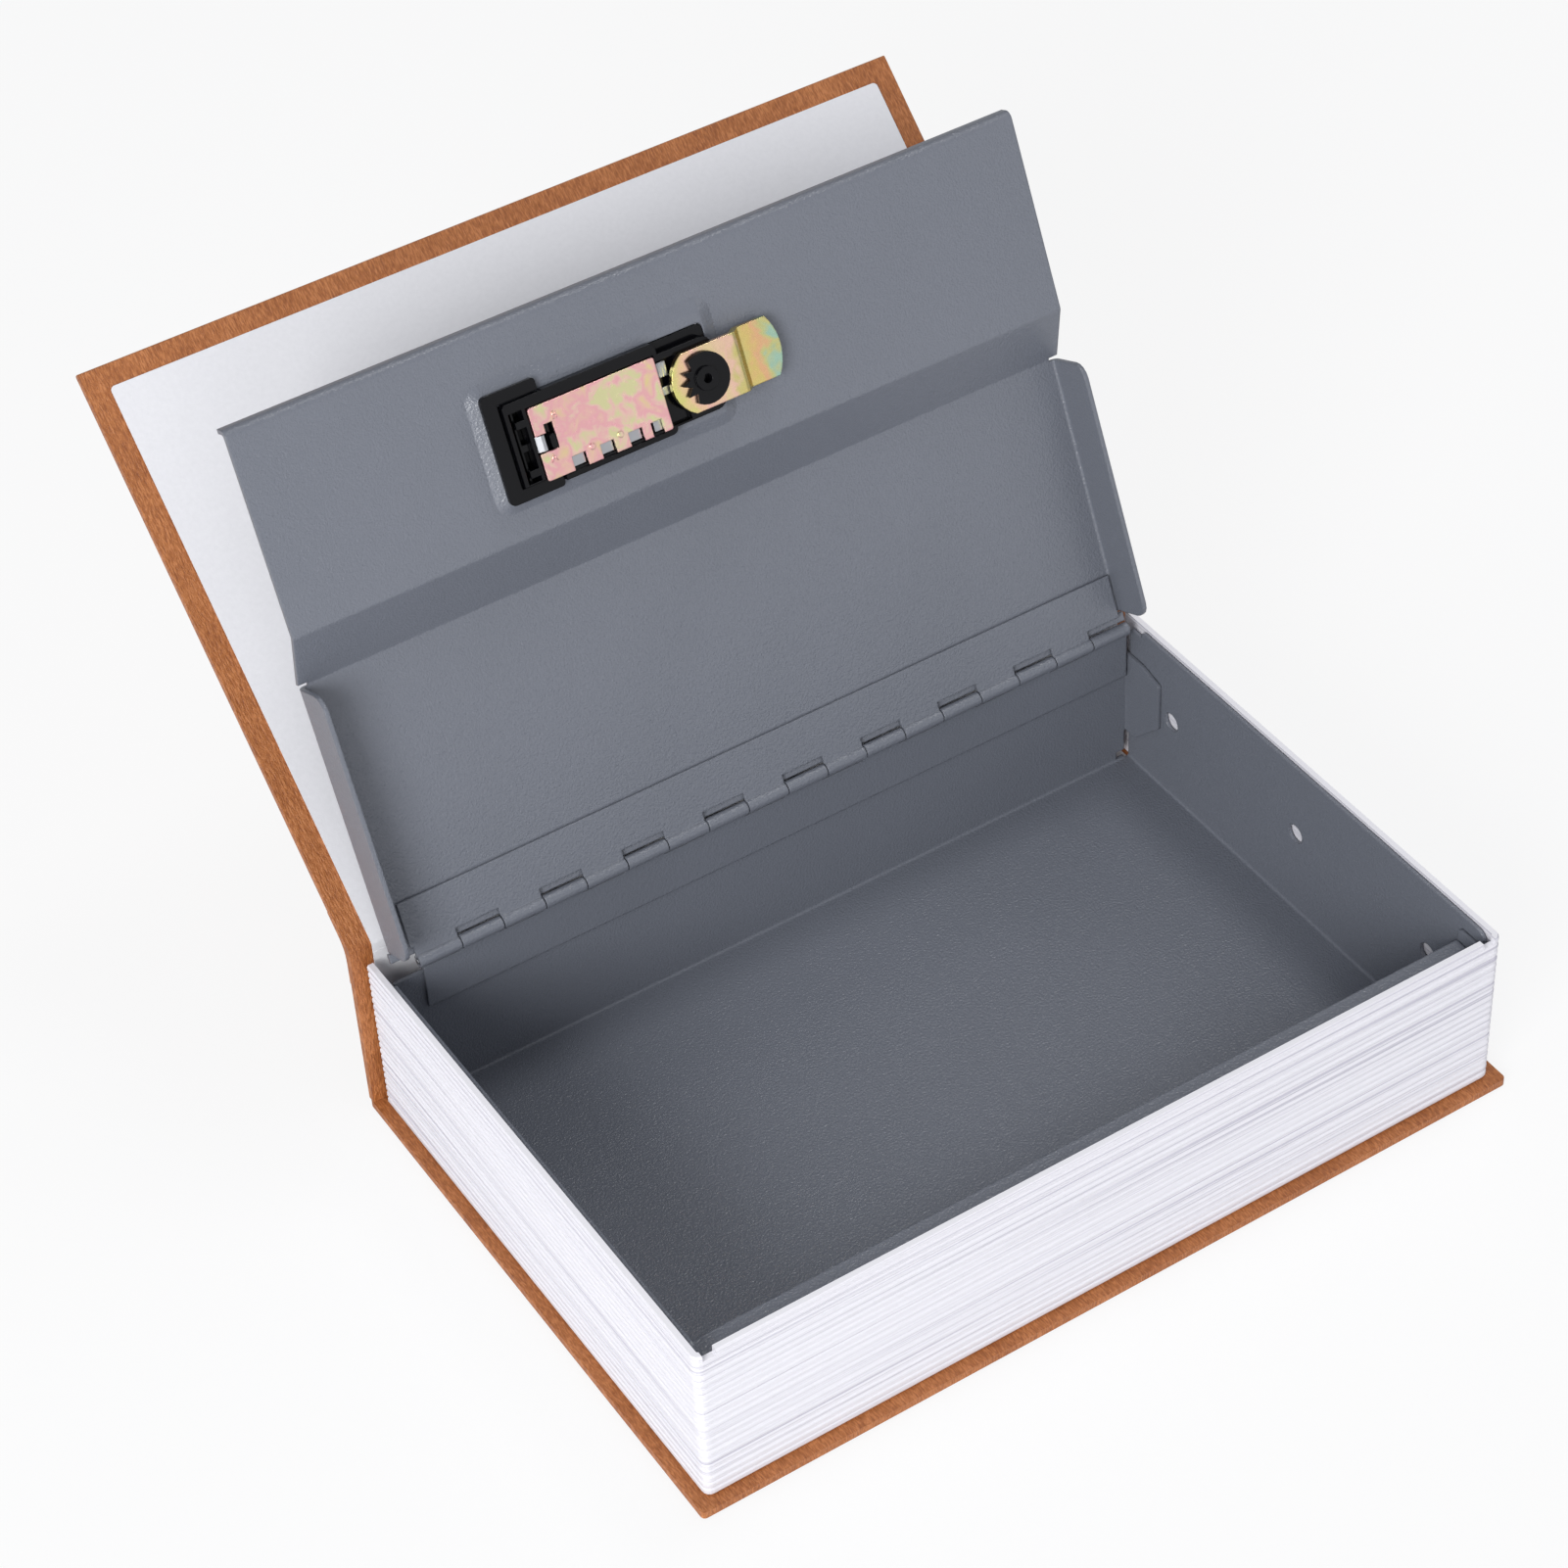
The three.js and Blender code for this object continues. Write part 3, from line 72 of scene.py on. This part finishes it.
# Lid and front cover at rest, from the frame: angles in degrees, places in Y and Z in millimetres
HINGE = tuple(in_mm(value) for value in joints["lid_hinge"]["pos_m"][1:])
COVER_AXIS = tuple(in_mm(value) for value in joints["front_cover_hinge"]["pos_m"][1:])
COVER_HALF_LENGTH = in_mm(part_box("front_cover_board")[1][0])
LID_TILT = 180 - joints["lid_hinge"]["range_deg"][1]
COVER_TILT = 180 - COVER_OPENING

# Lock on the lid, as in the CAD, in millimetres
LOCK_ALONG = 113.6
FIELD_TOP = 9.1
PLATE_TOP = 3.1
WHEEL_COUNT = 3
WHEEL_AXIS = -3.8
WHEEL_RADIUS = 5.6
WHEEL_DIGITS = 10

# Strips over the joint in millimetres: three radii run from inside the book outwards
COVERING_RADII = (1.2, 1.35, 1.5)
COVERING_LOW = 42
COVERING_ALONG = 13
COVERING_INSET = 0.2
END_INNER_RADIUS = 1.22
END_OUTER_RADIUS = 1.24
END_LOW = 44
END_ALONG = 11
END_HALF = 3.2
END_INSET = 3.1
LINING_RADII = (1.58, 1.52, 1.46)
LINING_LOW = 52.1
LINING_ALONG = 7

# Heights on the spine and places along the cover where the covering curves and the strips bend
FOLD_START = 50
FOLD_START_PULL = 53.6
FOLD_END_PULL = 1.2
FOLD_END = 4.5
BEND_STEPS = 8

# Paper on the back cover, in millimetres
BACK_PAPER_HALF = 114
BACK_PAPER_FRONT = -74
BACK_PAPER_BACK = 78.2
BACK_PAPER_LOW = 2.21
BACK_PAPER_TOP = 2.4

# Characters in millimetres: each letter with its place from the lock's origin on the lid
MARKS = (("mark_a", "A", -36.6, -4.4), ("mark_b", "B", -33.4, 5.6))
MARK_DEPTH = 0.3
NUMERAL_DEPTH = 0.08
NUMERAL_SINK = 0.03
GLYPH_HEIGHT = 2.1
FONT_SIZE_FOR_HEIGHT = 1.4

# Stage in metres and watts: each lamp with its place, side and power
FLOOR_REACH = 6
FLOOR_DROP = 0.0005
FLOOR_COLOUR = (0.85, 0.85, 0.86, 1)
FLOOR_GLOW_SHARE = 0.85
WORLD_COLOUR = (0.93, 0.95, 1, 1)
WORLD_STRENGTH = 0.36
LAMP_TARGET = (0, 0, 0.08)
LAMPS = (
    ("key", (-1.4, -0.95, 0.95), 0.9, 29),
    ("front", (-0.6, -1.6, 0.4), 0.7, 3),
    ("sheen", (0.75, -1.5, 0.35), 0.8, 1.2),
    ("top", (0.55, 0.2, 1.55), 0.4, 4),
    ("right", (1.4, -0.4, 0.9), 0.7, 2),
)


# Material helpers
class Shader:
    """A node material that starts as one Principled surface."""

    def __init__(self, name, colour, roughness, metallic=0.0):
        self.material = bpy.data.materials.new(name)
        self.material.use_nodes = True
        self.tree = self.material.node_tree
        self.surface = self.tree.nodes["Principled BSDF"]
        self.set("Base Color", (*colour, 1))
        self.set("Roughness", roughness)
        self.set("Metallic", metallic)
        self.place = self.node("ShaderNodeTexCoord").outputs["Object"]

    def node(self, kind, **values):
        node = self.tree.nodes.new(kind)
        for name, value in values.items():
            setattr(node, name, value)
        return node

    def link(self, start, end):
        self.tree.links.new(start, end)

    def set(self, socket, value):
        self.surface.inputs[socket].default_value = value

    def split(self, vector):
        """The X, Y and Z of a vector, by name."""
        parts = self.node("ShaderNodeSeparateXYZ")
        self.link(vector, parts.inputs["Vector"])
        return parts.outputs

    def stretched(self, scale):
        mapping = self.node("ShaderNodeMapping")
        mapping.inputs["Scale"].default_value = scale
        self.link(self.place, mapping.inputs["Vector"])
        return mapping.outputs["Vector"]

    def noise(self, grain, detail=3.0, distortion=0.0, place=None):
        """Noise whose lumps are about as wide as grain, in metres."""
        noise = self.node("ShaderNodeTexNoise")
        noise.inputs["Scale"].default_value = 1 / grain
        noise.inputs["Detail"].default_value = detail
        noise.inputs["Distortion"].default_value = distortion
        self.link(place or self.place, noise.inputs["Vector"])
        return noise.outputs["Fac"]

    def ramp(self, value, *stops):
        """Colours blended between stops, each a position and a colour."""
        ramp = self.node("ShaderNodeValToRGB")
        elements = ramp.color_ramp.elements
        while len(elements) < len(stops):
            elements.new(position=0.5)
        for element, (position, colour) in zip(elements, stops):
            element.position = position
            element.color = (*colour, 1)
        self.link(value, ramp.inputs["Fac"])
        return ramp.outputs["Color"]

    def levels(self, value, low=0.0, high=1.0, start=0.0, end=1.0):
        """The value spread over low to high, while it runs from start to end."""
        levels = self.node("ShaderNodeMapRange")
        levels.inputs["From Min"].default_value = start
        levels.inputs["From Max"].default_value = end
        levels.inputs["To Min"].default_value = low
        levels.inputs["To Max"].default_value = high
        self.link(value, levels.inputs["Value"])
        return levels.outputs["Result"]

    def add(self, first, second, share=1.0):
        """The first value plus a share of the second."""
        scaled = self.node("ShaderNodeMath", operation="MULTIPLY_ADD")
        self.link(second, scaled.inputs[0])
        scaled.inputs[1].default_value = share
        self.link(first, scaled.inputs[2])
        return scaled.outputs["Value"]

    def fade(self, share, output, colour):
        """A colour output that fades by a share into one plain colour."""
        # The node repeats its socket names for each type of data, so they are taken by number
        colour_a, colour_b, result = 6, 7, 2
        mix = self.node("ShaderNodeMix", data_type="RGBA")
        self.link(share, mix.inputs["Factor"])
        self.link(output, mix.inputs[colour_a])
        mix.inputs[colour_b].default_value = (*colour, 1)
        return mix.outputs[result]

    def colour(self, output):
        self.link(output, self.surface.inputs["Base Color"])

    def roughness(self, output):
        self.link(output, self.surface.inputs["Roughness"])

    def bump(self, height, depth, strength=1.0, edge=0.0):
        """Relief from a height, over edges that look rounded by edge, in metres."""
        bump = self.node("ShaderNodeBump")
        if edge:
            bevel = self.node("ShaderNodeBevel", samples=4)
            bevel.inputs["Radius"].default_value = edge
            self.link(bevel.outputs["Normal"], bump.inputs["Normal"])
        bump.inputs["Distance"].default_value = depth
        bump.inputs["Strength"].default_value = strength
        self.link(height, bump.inputs["Height"])
        self.link(bump.outputs["Normal"], self.surface.inputs["Normal"])


def leatherette():
    shader = Shader("leatherette", (0.36, 0.115, 0.032), roughness=0.46)
    along = shader.stretched((1, 0.22, 0.22))
    streaks = shader.noise(0.4 * MM, detail=3, distortion=0.2, place=along)
    grain = shader.add(streaks, shader.noise(12 * MM, detail=2), share=0.3)
    shader.colour(shader.ramp(
        grain,
        (0.42, (0.27, 0.080, 0.021)),
        (0.64, (0.40, 0.135, 0.037)),
        (0.82, (0.54, 0.205, 0.070)),
    ))
    shader.roughness(shader.levels(shader.noise(2 * MM), low=0.38, high=0.52))
    pores = shader.noise(0.35 * MM, detail=3)
    wrinkles = shader.noise(1.1 * MM, detail=3, distortion=0.5, place=along)
    relief = shader.add(shader.add(streaks, pores, share=0.7), wrinkles, share=0.8)
    shader.bump(relief, depth=0.22 * MM, strength=0.9)
    return shader.material


def endpaper():
    shader = Shader("endpaper", (0.79, 0.79, 0.82), roughness=0.82)
    fibres = shader.noise(1.2 * MM, detail=4)
    shader.colour(shader.ramp(
        fibres,
        (0.3, (0.775, 0.775, 0.805)),
        (0.7, (0.805, 0.805, 0.835)),
    ))
    shader.bump(fibres, depth=0.05 * MM, strength=0.6)
    return shader.material


def white_plastic():
    """Page lines on the walls, and a plain rim where the surface looks up: the rim really has no page lines, and
    its lighter colour is painted light from above.
    """
    shader = Shader("white_plastic", (0.80, 0.79, 0.84), roughness=0.42)
    fine = shader.noise(0.42 * MM, detail=2, place=shader.stretched((0.002, 0.002, 1)))
    broad = shader.noise(1.6 * MM, detail=2, place=shader.stretched((0.004, 0.004, 1)))
    lines = shader.add(fine, broad, share=0.5)
    lined = shader.ramp(
        lines,
        (0.56, (0.50, 0.485, 0.56)),
        (0.68, (0.73, 0.72, 0.765)),
        (0.78, (0.78, 0.77, 0.815)),
    )
    normal = shader.split(shader.node("ShaderNodeNewGeometry").outputs["Normal"])
    # Painted light: faces that look up fade into a lighter plain colour, as if lit from above; the missing page
    # lines there are real
    rim_and_top_light = shader.levels(normal["Z"], start=0.5, end=0.95)
    shader.colour(shader.fade(rim_and_top_light, lined, (0.87, 0.86, 0.90)))
    shader.bump(lines, depth=0.16 * MM, strength=0.8)
    return shader.material


def powder_coat():
    shader = Shader("powder_coat", (0.160, 0.172, 0.204), roughness=0.28)
    shader.set("Specular IOR Level", 0.7)
    shader.colour(shader.ramp(
        shader.noise(40 * MM, detail=2),
        (0.3, (0.156, 0.168, 0.199)),
        (0.7, (0.164, 0.176, 0.209)),
    ))
    broad = shader.noise(0.7 * MM, detail=1)
    peel = shader.add(broad, shader.noise(0.4 * MM, detail=1), share=0.6)
    shader.bump(peel, depth=0.16 * MM, edge=0.6 * MM)
    return shader.material


def bright_steel():
    shader = Shader("bright_steel", (0.50, 0.51, 0.53), roughness=0.34, metallic=1.0)
    grain = shader.noise(0.5 * MM, detail=2, place=shader.stretched((0.1, 1, 1)))
    shader.roughness(shader.levels(grain, low=0.28, high=0.42))
    shader.bump(grain, depth=0.01 * MM, strength=0.5, edge=0.2 * MM)
    return shader.material


def zinc_film(shader, film, stops, smooth, dull):
    """The colours of a zinc plating's film, over its fine relief."""
    shader.colour(shader.ramp(film, *stops))
    shader.roughness(shader.levels(shader.noise(1.5 * MM), low=smooth, high=dull))
    relief = shader.noise(0.9 * MM, detail=2)
    shader.bump(relief, depth=0.02 * MM, strength=0.6, edge=0.35 * MM)
    return shader.material


def yellow_zinc():
    shader = Shader("yellow_zinc", (0.95, 0.60, 0.50), roughness=0.27, metallic=1.0)
    small = shader.noise(5 * MM, detail=3, distortion=0.5)
    patches = shader.add(small, shader.noise(14 * MM, detail=1), share=0.7)
    stops = (
        (0.62, (0.90, 0.72, 0.36)),
        (0.74, (0.95, 0.60, 0.50)),
        (0.84, (0.95, 0.49, 0.52)),
        (0.92, (0.95, 0.64, 0.54)),
        (1.0, (0.80, 0.76, 0.42)),
    )
    return zinc_film(shader, patches, stops, smooth=0.24, dull=0.34)


def rainbow_zinc():
    """The cam's plating, where the film runs from gold through rose to green towards the tip."""
    shader = Shader("rainbow_zinc", (0.85, 0.66, 0.36), roughness=0.27, metallic=1.0)
    along = shader.levels(shader.split(shader.place)["X"], start=-2 * MM, end=38 * MM)
    film = shader.add(along, shader.noise(5 * MM, detail=2, distortion=0.5), share=0.4)
    stops = (
        (0.20, (0.78, 0.74, 0.26)),
        (0.30, (0.93, 0.64, 0.38)),
        (0.40, (0.95, 0.56, 0.48)),
        (0.50, (0.86, 0.68, 0.38)),
        (0.60, (0.93, 0.60, 0.47)),
        (0.68, (0.70, 0.62, 0.25)),
        (0.78, (0.78, 0.60, 0.22)),
        (0.87, (0.86, 0.50, 0.28)),
        (0.94, (0.64, 0.62, 0.27)),
        (1.0, (0.42, 0.62, 0.48)),
    )
    return zinc_film(shader, film, stops, smooth=0.22, dull=0.32)


def black_plastic():
    shader = Shader("black_plastic", (0.002, 0.002, 0.003), roughness=0.14)
    shader.set("Specular IOR Level", 0.22)
    shader.roughness(shader.levels(shader.noise(2 * MM), low=0.1, high=0.2))
    relief = shader.noise(0.6 * MM, detail=2)
    shader.bump(relief, depth=0.01 * MM, strength=0.4, edge=0.3 * MM)
    return shader.material


def spring_steel():
    shader = Shader("spring_steel", (0.32, 0.33, 0.34), roughness=0.32, metallic=1.0)
    shader.roughness(shader.levels(shader.noise(1.5 * MM), low=0.26, high=0.4))
    return shader.material


def dress_nodes():
    """Gives each CAD node the look of its slot, and returns the looks by slot."""
    looks = {
        "leatherette": leatherette(),
        "endpaper": endpaper(),
        "white_plastic": white_plastic(),
        "grey_powder_coat": powder_coat(),
        "bright_steel": bright_steel(),
        "yellow_zinc": yellow_zinc(),
        "black_plastic": black_plastic(),
        "spring_steel": spring_steel(),
    }
    for part in frame["record"]["subparts"]:
        mesh = nodes[part["node"]].data
        mesh.materials.clear()
        mesh.materials.append(looks[part["material_slot"]])
    nodes["latch_cam"].data.materials[0] = rainbow_zinc()
    return looks


# Pieces that only the looks need
def shown(name, data):
    """An object of the scene that shows the data."""
    thing = bpy.data.objects.new(name, data)
    bpy.context.scene.collection.objects.link(thing)
    return thing


def mesh_object(name, points, faces, material):
    """A piece from points in millimetres."""
    mesh = bpy.data.meshes.new(name)
    mesh.from_pydata([tuple(value * MM for value in point) for point in points], [], faces)
    mesh.materials.append(material)
    piece = shown(name, mesh)
    return piece


def bezier(a, b, c, d, steps=8):
    """Points of a cubic curve from a to d, pulled by b and c."""
    places = []
    for step in range(steps + 1):
        t = step / steps
        weights = ((1 - t) ** 3, 3 * t * (1 - t) ** 2, 3 * t * t * (1 - t), t ** 3)
        pulled = [(weight, point) for weight, point in zip(weights, (a, b, c, d))]
        places.append(tuple(sum(weight * point[i] for weight, point in pulled) for i in (0, 1)))
    return places


def cover_point(along, out):
    """Y and Z of a point on the open front cover, along from its axis and out of its outer face."""
    tilt = math.radians(COVER_TILT)
    y = COVER_AXIS[0] + along * math.cos(tilt) + out * math.sin(tilt)
    z = COVER_AXIS[1] + along * math.sin(tilt) - out * math.cos(tilt)
    return (y, z)


def bend(radius, low, along):
    """A path on the inside of the joint: up the spine, round the axis and along the cover."""
    y, z = COVER_AXIS
    path = [(y - radius, low)]
    for step in range(BEND_STEPS + 1):
        turn = math.radians((90 - COVER_TILT) * step / BEND_STEPS)
        path.append((y - radius * math.cos(turn), z + radius * math.sin(turn)))
    thirds = (along / 3, 2 * along / 3, along)
    return path + [cover_point(distance, -radius) for distance in thirds]


def fold(radius, low, along):
    """The same on the outside of the joint, where the covering rounds the corner."""
    y = COVER_AXIS[0] + radius
    corner = bezier(
        (y, FOLD_START),
        (y, FOLD_START_PULL),
        cover_point(FOLD_END_PULL, radius),
        cover_point(FOLD_END, radius),
    )
    middle = cover_point((along + FOLD_END) / 2, radius)
    return [(y, low)] + corner + [middle, cover_point(along, radius)]


def strip(name, inner, outer, half, material):
    """A closed thin strip along X between two paths in Y and Z."""
    ring = inner + outer[::-1]
    count = len(ring)
    points = [(x, y, z) for x in (-half, half) for y, z in ring]
    faces = [tuple(reversed(range(count))), tuple(range(count, 2 * count))]
    for place in range(count):
        after = (place + 1) % count
        faces.append((place, after, after + count, place + count))
    piece = mesh_object(name, points, faces, material)
    bm = bmesh.new()
    bm.from_mesh(piece.data)
    bmesh.ops.recalc_face_normals(bm, faces=bm.faces)
    bm.to_mesh(piece.data)
    bm.free()
    return piece


def cloth(piece, ends=()):
    """Bakes the placement of a strip and its end pieces into their meshes."""
    for part in (piece, *ends):
        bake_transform(part)


def make_gutters(looks):
    """The leatherette outside and the paper inside, which bend between spine and cover."""
    leather, paper = looks["leatherette"], looks["endpaper"]
    ends = []
    for side, name in ((-1, "gutter_end_left"), (1, "gutter_end_right")):
        inner = bend(END_INNER_RADIUS, END_LOW, END_ALONG)
        outer = fold(END_OUTER_RADIUS, END_LOW, END_ALONG)
        end = strip(name, inner, outer, END_HALF, leather)
        end.location.x = side * (COVER_HALF_LENGTH - END_INSET) * MM
        ends.append(end)
    half = COVER_HALF_LENGTH - COVERING_INSET
    inner, middle, outer = (fold(r, COVERING_LOW, COVERING_ALONG) for r in COVERING_RADII)
    outside = strip("gutter_leatherette", inner, outer, half, leather)
    cloth(outside, ends)
    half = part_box("front_endpaper")[1][0] / MM
    inner, middle, outer = (bend(r, LINING_LOW, LINING_ALONG) for r in LINING_RADII)
    inside = strip("gutter_paper", inner, outer, half, paper)
    cloth(inside)


def make_back_endpaper(looks):
    """The paper on the inside of the back cover, under the page block."""
    x, front, back = BACK_PAPER_HALF, BACK_PAPER_FRONT, BACK_PAPER_BACK
    corners = ((-x, front), (x, front), (x, back), (-x, back))
    points = [(px, py, pz) for pz in (BACK_PAPER_LOW, BACK_PAPER_TOP) for px, py in corners]
    faces = [(3, 2, 1, 0), (4, 5, 6, 7)]
    faces += [(0, 1, 5, 4), (1, 2, 6, 5), (2, 3, 7, 6), (3, 0, 4, 7)]
    paper = mesh_object("back_endpaper", points, faces, looks["endpaper"])
    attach(paper, "box")


def lid_matrix(x, along, up):
    """Places a piece drawn in X and Y on the open lid, facing the inside of the box."""
    tilt = math.radians(LID_TILT)
    y = HINGE[0] + along * math.cos(tilt) - up * math.sin(tilt)
    z = HINGE[1] + along * math.sin(tilt) + up * math.cos(tilt)
    return Matrix.Translation((x * MM, y * MM, z * MM)) @ Matrix.Rotation(tilt, 4, "X")


def glyph(name, text, depth, material):
    """One raised character, centred on its origin."""
    curve = bpy.data.curves.new(name, "FONT")
    curve.body = text
    curve.size = GLYPH_HEIGHT * MM * FONT_SIZE_FOR_HEIGHT
    curve.extrude = depth * MM / 2
    curve.align_x = "CENTER"
    curve.align_y = "CENTER"
    curve.resolution_u = 3
    source = shown(name + "_curve", curve)
    bpy.context.view_layer.update()
    solid = source.evaluated_get(bpy.context.evaluated_depsgraph_get())
    mesh = bpy.data.meshes.new_from_object(solid)
    bpy.data.objects.remove(source)
    mesh.name = name
    mesh.materials.clear()
    mesh.materials.append(material)
    piece = shown(name, mesh)
    return piece


def make_marks(looks):
    """The two position letters beside the reset lever."""
    for name, text, x, y in MARKS:
        mark = glyph(name, text, MARK_DEPTH, looks["yellow_zinc"])
        mark.matrix_world = lid_matrix(x, LOCK_ALONG + y, FIELD_TOP + PLATE_TOP)
        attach(mark, "lid")


def make_numerals():
    """The numerals on the facets of the wheels, upright as seen from outside the lid."""
    ink = Shader("numeral_white", (0.75, 0.75, 0.74), roughness=0.5).material
    face_out = Matrix.Rotation(math.pi, 4, "X")
    lift = Matrix.Translation((0, 0, (WHEEL_RADIUS - NUMERAL_SINK) * MM))
    upright = Matrix.Rotation(math.pi, 4, "Z")
    for wheel in range(WHEEL_COUNT):
        x = in_mm(joints[f"wheel_{wheel + 1}_spin"]["pos_m"][0])
        axis = lid_matrix(x, LOCK_ALONG, FIELD_TOP + WHEEL_AXIS)
        for digit in range(WHEEL_DIGITS):
            name = f"wheel_{wheel + 1}_numeral_{digit}"
            numeral = glyph(name, str(digit), NUMERAL_DEPTH, ink)
            turn = Matrix.Rotation(math.radians(360 / WHEEL_DIGITS * digit), 4, "X")
            numeral.matrix_world = axis @ face_out @ turn @ (lift @ upright)
            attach(numeral, f"wheel_{wheel + 1}")


# Stage: floor, world, lamps and camera
def cleared_tree(owner):
    owner.use_nodes = True
    owner.node_tree.nodes.clear()
    return owner.node_tree


def show_camera(tree, others, camera, output, share=1.0):
    """Mixes a share of one shader in for the camera, and shows all other rays the other alone."""
    path = tree.nodes.new("ShaderNodeLightPath")
    part = tree.nodes.new("ShaderNodeMath")
    part.operation = "MULTIPLY"
    part.inputs[1].default_value = share
    mix = tree.nodes.new("ShaderNodeMixShader")
    out = tree.nodes.new(output)
    tree.links.new(path.outputs["Is Camera Ray"], part.inputs[0])
    tree.links.new(part.outputs["Value"], mix.inputs["Fac"])
    tree.links.new(others, mix.inputs[1])
    tree.links.new(camera, mix.inputs[2])
    tree.links.new(mix.outputs["Shader"], out.inputs["Surface"])


def make_floor():
    far = FLOOR_REACH
    mesh = bpy.data.meshes.new("floor")
    corners = [(-far, -far, 0), (far, -far, 0), (far, far, 0), (-far, far, 0)]
    mesh.from_pydata(corners, [], [(0, 1, 2, 3)])
    floor = shown("floor", mesh)
    floor.location.z = -FLOOR_DROP
    material = bpy.data.materials.new("floor_white")
    tree = cleared_tree(material)
    paint = tree.nodes.new("ShaderNodeBsdfDiffuse")
    paint.inputs["Color"].default_value = FLOOR_COLOUR
    glow = tree.nodes.new("ShaderNodeEmission")
    glow.inputs["Color"].default_value = (1, 1, 1, 1)
    output = "ShaderNodeOutputMaterial"
    show_camera(tree, paint.outputs["BSDF"], glow.outputs["Emission"], output, FLOOR_GLOW_SHARE)
    mesh.materials.append(material)


def make_world():
    world = bpy.data.worlds.new("studio")
    bpy.context.scene.world = world
    tree = cleared_tree(world)
    soft = tree.nodes.new("ShaderNodeBackground")
    soft.inputs["Color"].default_value = WORLD_COLOUR
    soft.inputs["Strength"].default_value = WORLD_STRENGTH
    white = tree.nodes.new("ShaderNodeBackground")
    white.inputs["Strength"].default_value = 1
    output = "ShaderNodeOutputWorld"
    show_camera(tree, soft.outputs["Background"], white.outputs["Background"], output)


def make_lamps():
    for name, place, side, power in LAMPS:
        lamp = bpy.data.lights.new(name, "AREA")
        lamp.shape = "SQUARE"
        lamp.size = side
        lamp.energy = power
        holder = shown(name, lamp)
        holder.location = place
        aim = Vector(LAMP_TARGET) - Vector(place)
        holder.rotation_euler = aim.to_track_quat("-Z", "Y").to_euler()


def make_camera():
    camera = bpy.data.cameras.new("camera")
    camera.lens = CAMERA_LENS
    camera.sensor_width = CAMERA_SENSOR
    camera.clip_end = CAMERA_FAR
    holder = shown("camera", camera)
    turn = (
        Matrix.Rotation(math.radians(CAMERA_AZIMUTH), 4, "Z")
        @ Matrix.Rotation(math.radians(CAMERA_TILT), 4, "X")
        @ Matrix.Rotation(math.radians(CAMERA_ROLL), 4, "Z")
    )
    holder.matrix_world = Matrix.Translation(CAMERA_PLACE) @ turn
    bpy.context.scene.camera = holder


make_camera()
looks = dress_nodes()
make_gutters(looks)
make_back_endpaper(looks)
make_marks(looks)
make_numerals()
make_floor()
make_world()
make_lamps()
bpy.context.scene.view_settings.view_transform = "Standard"
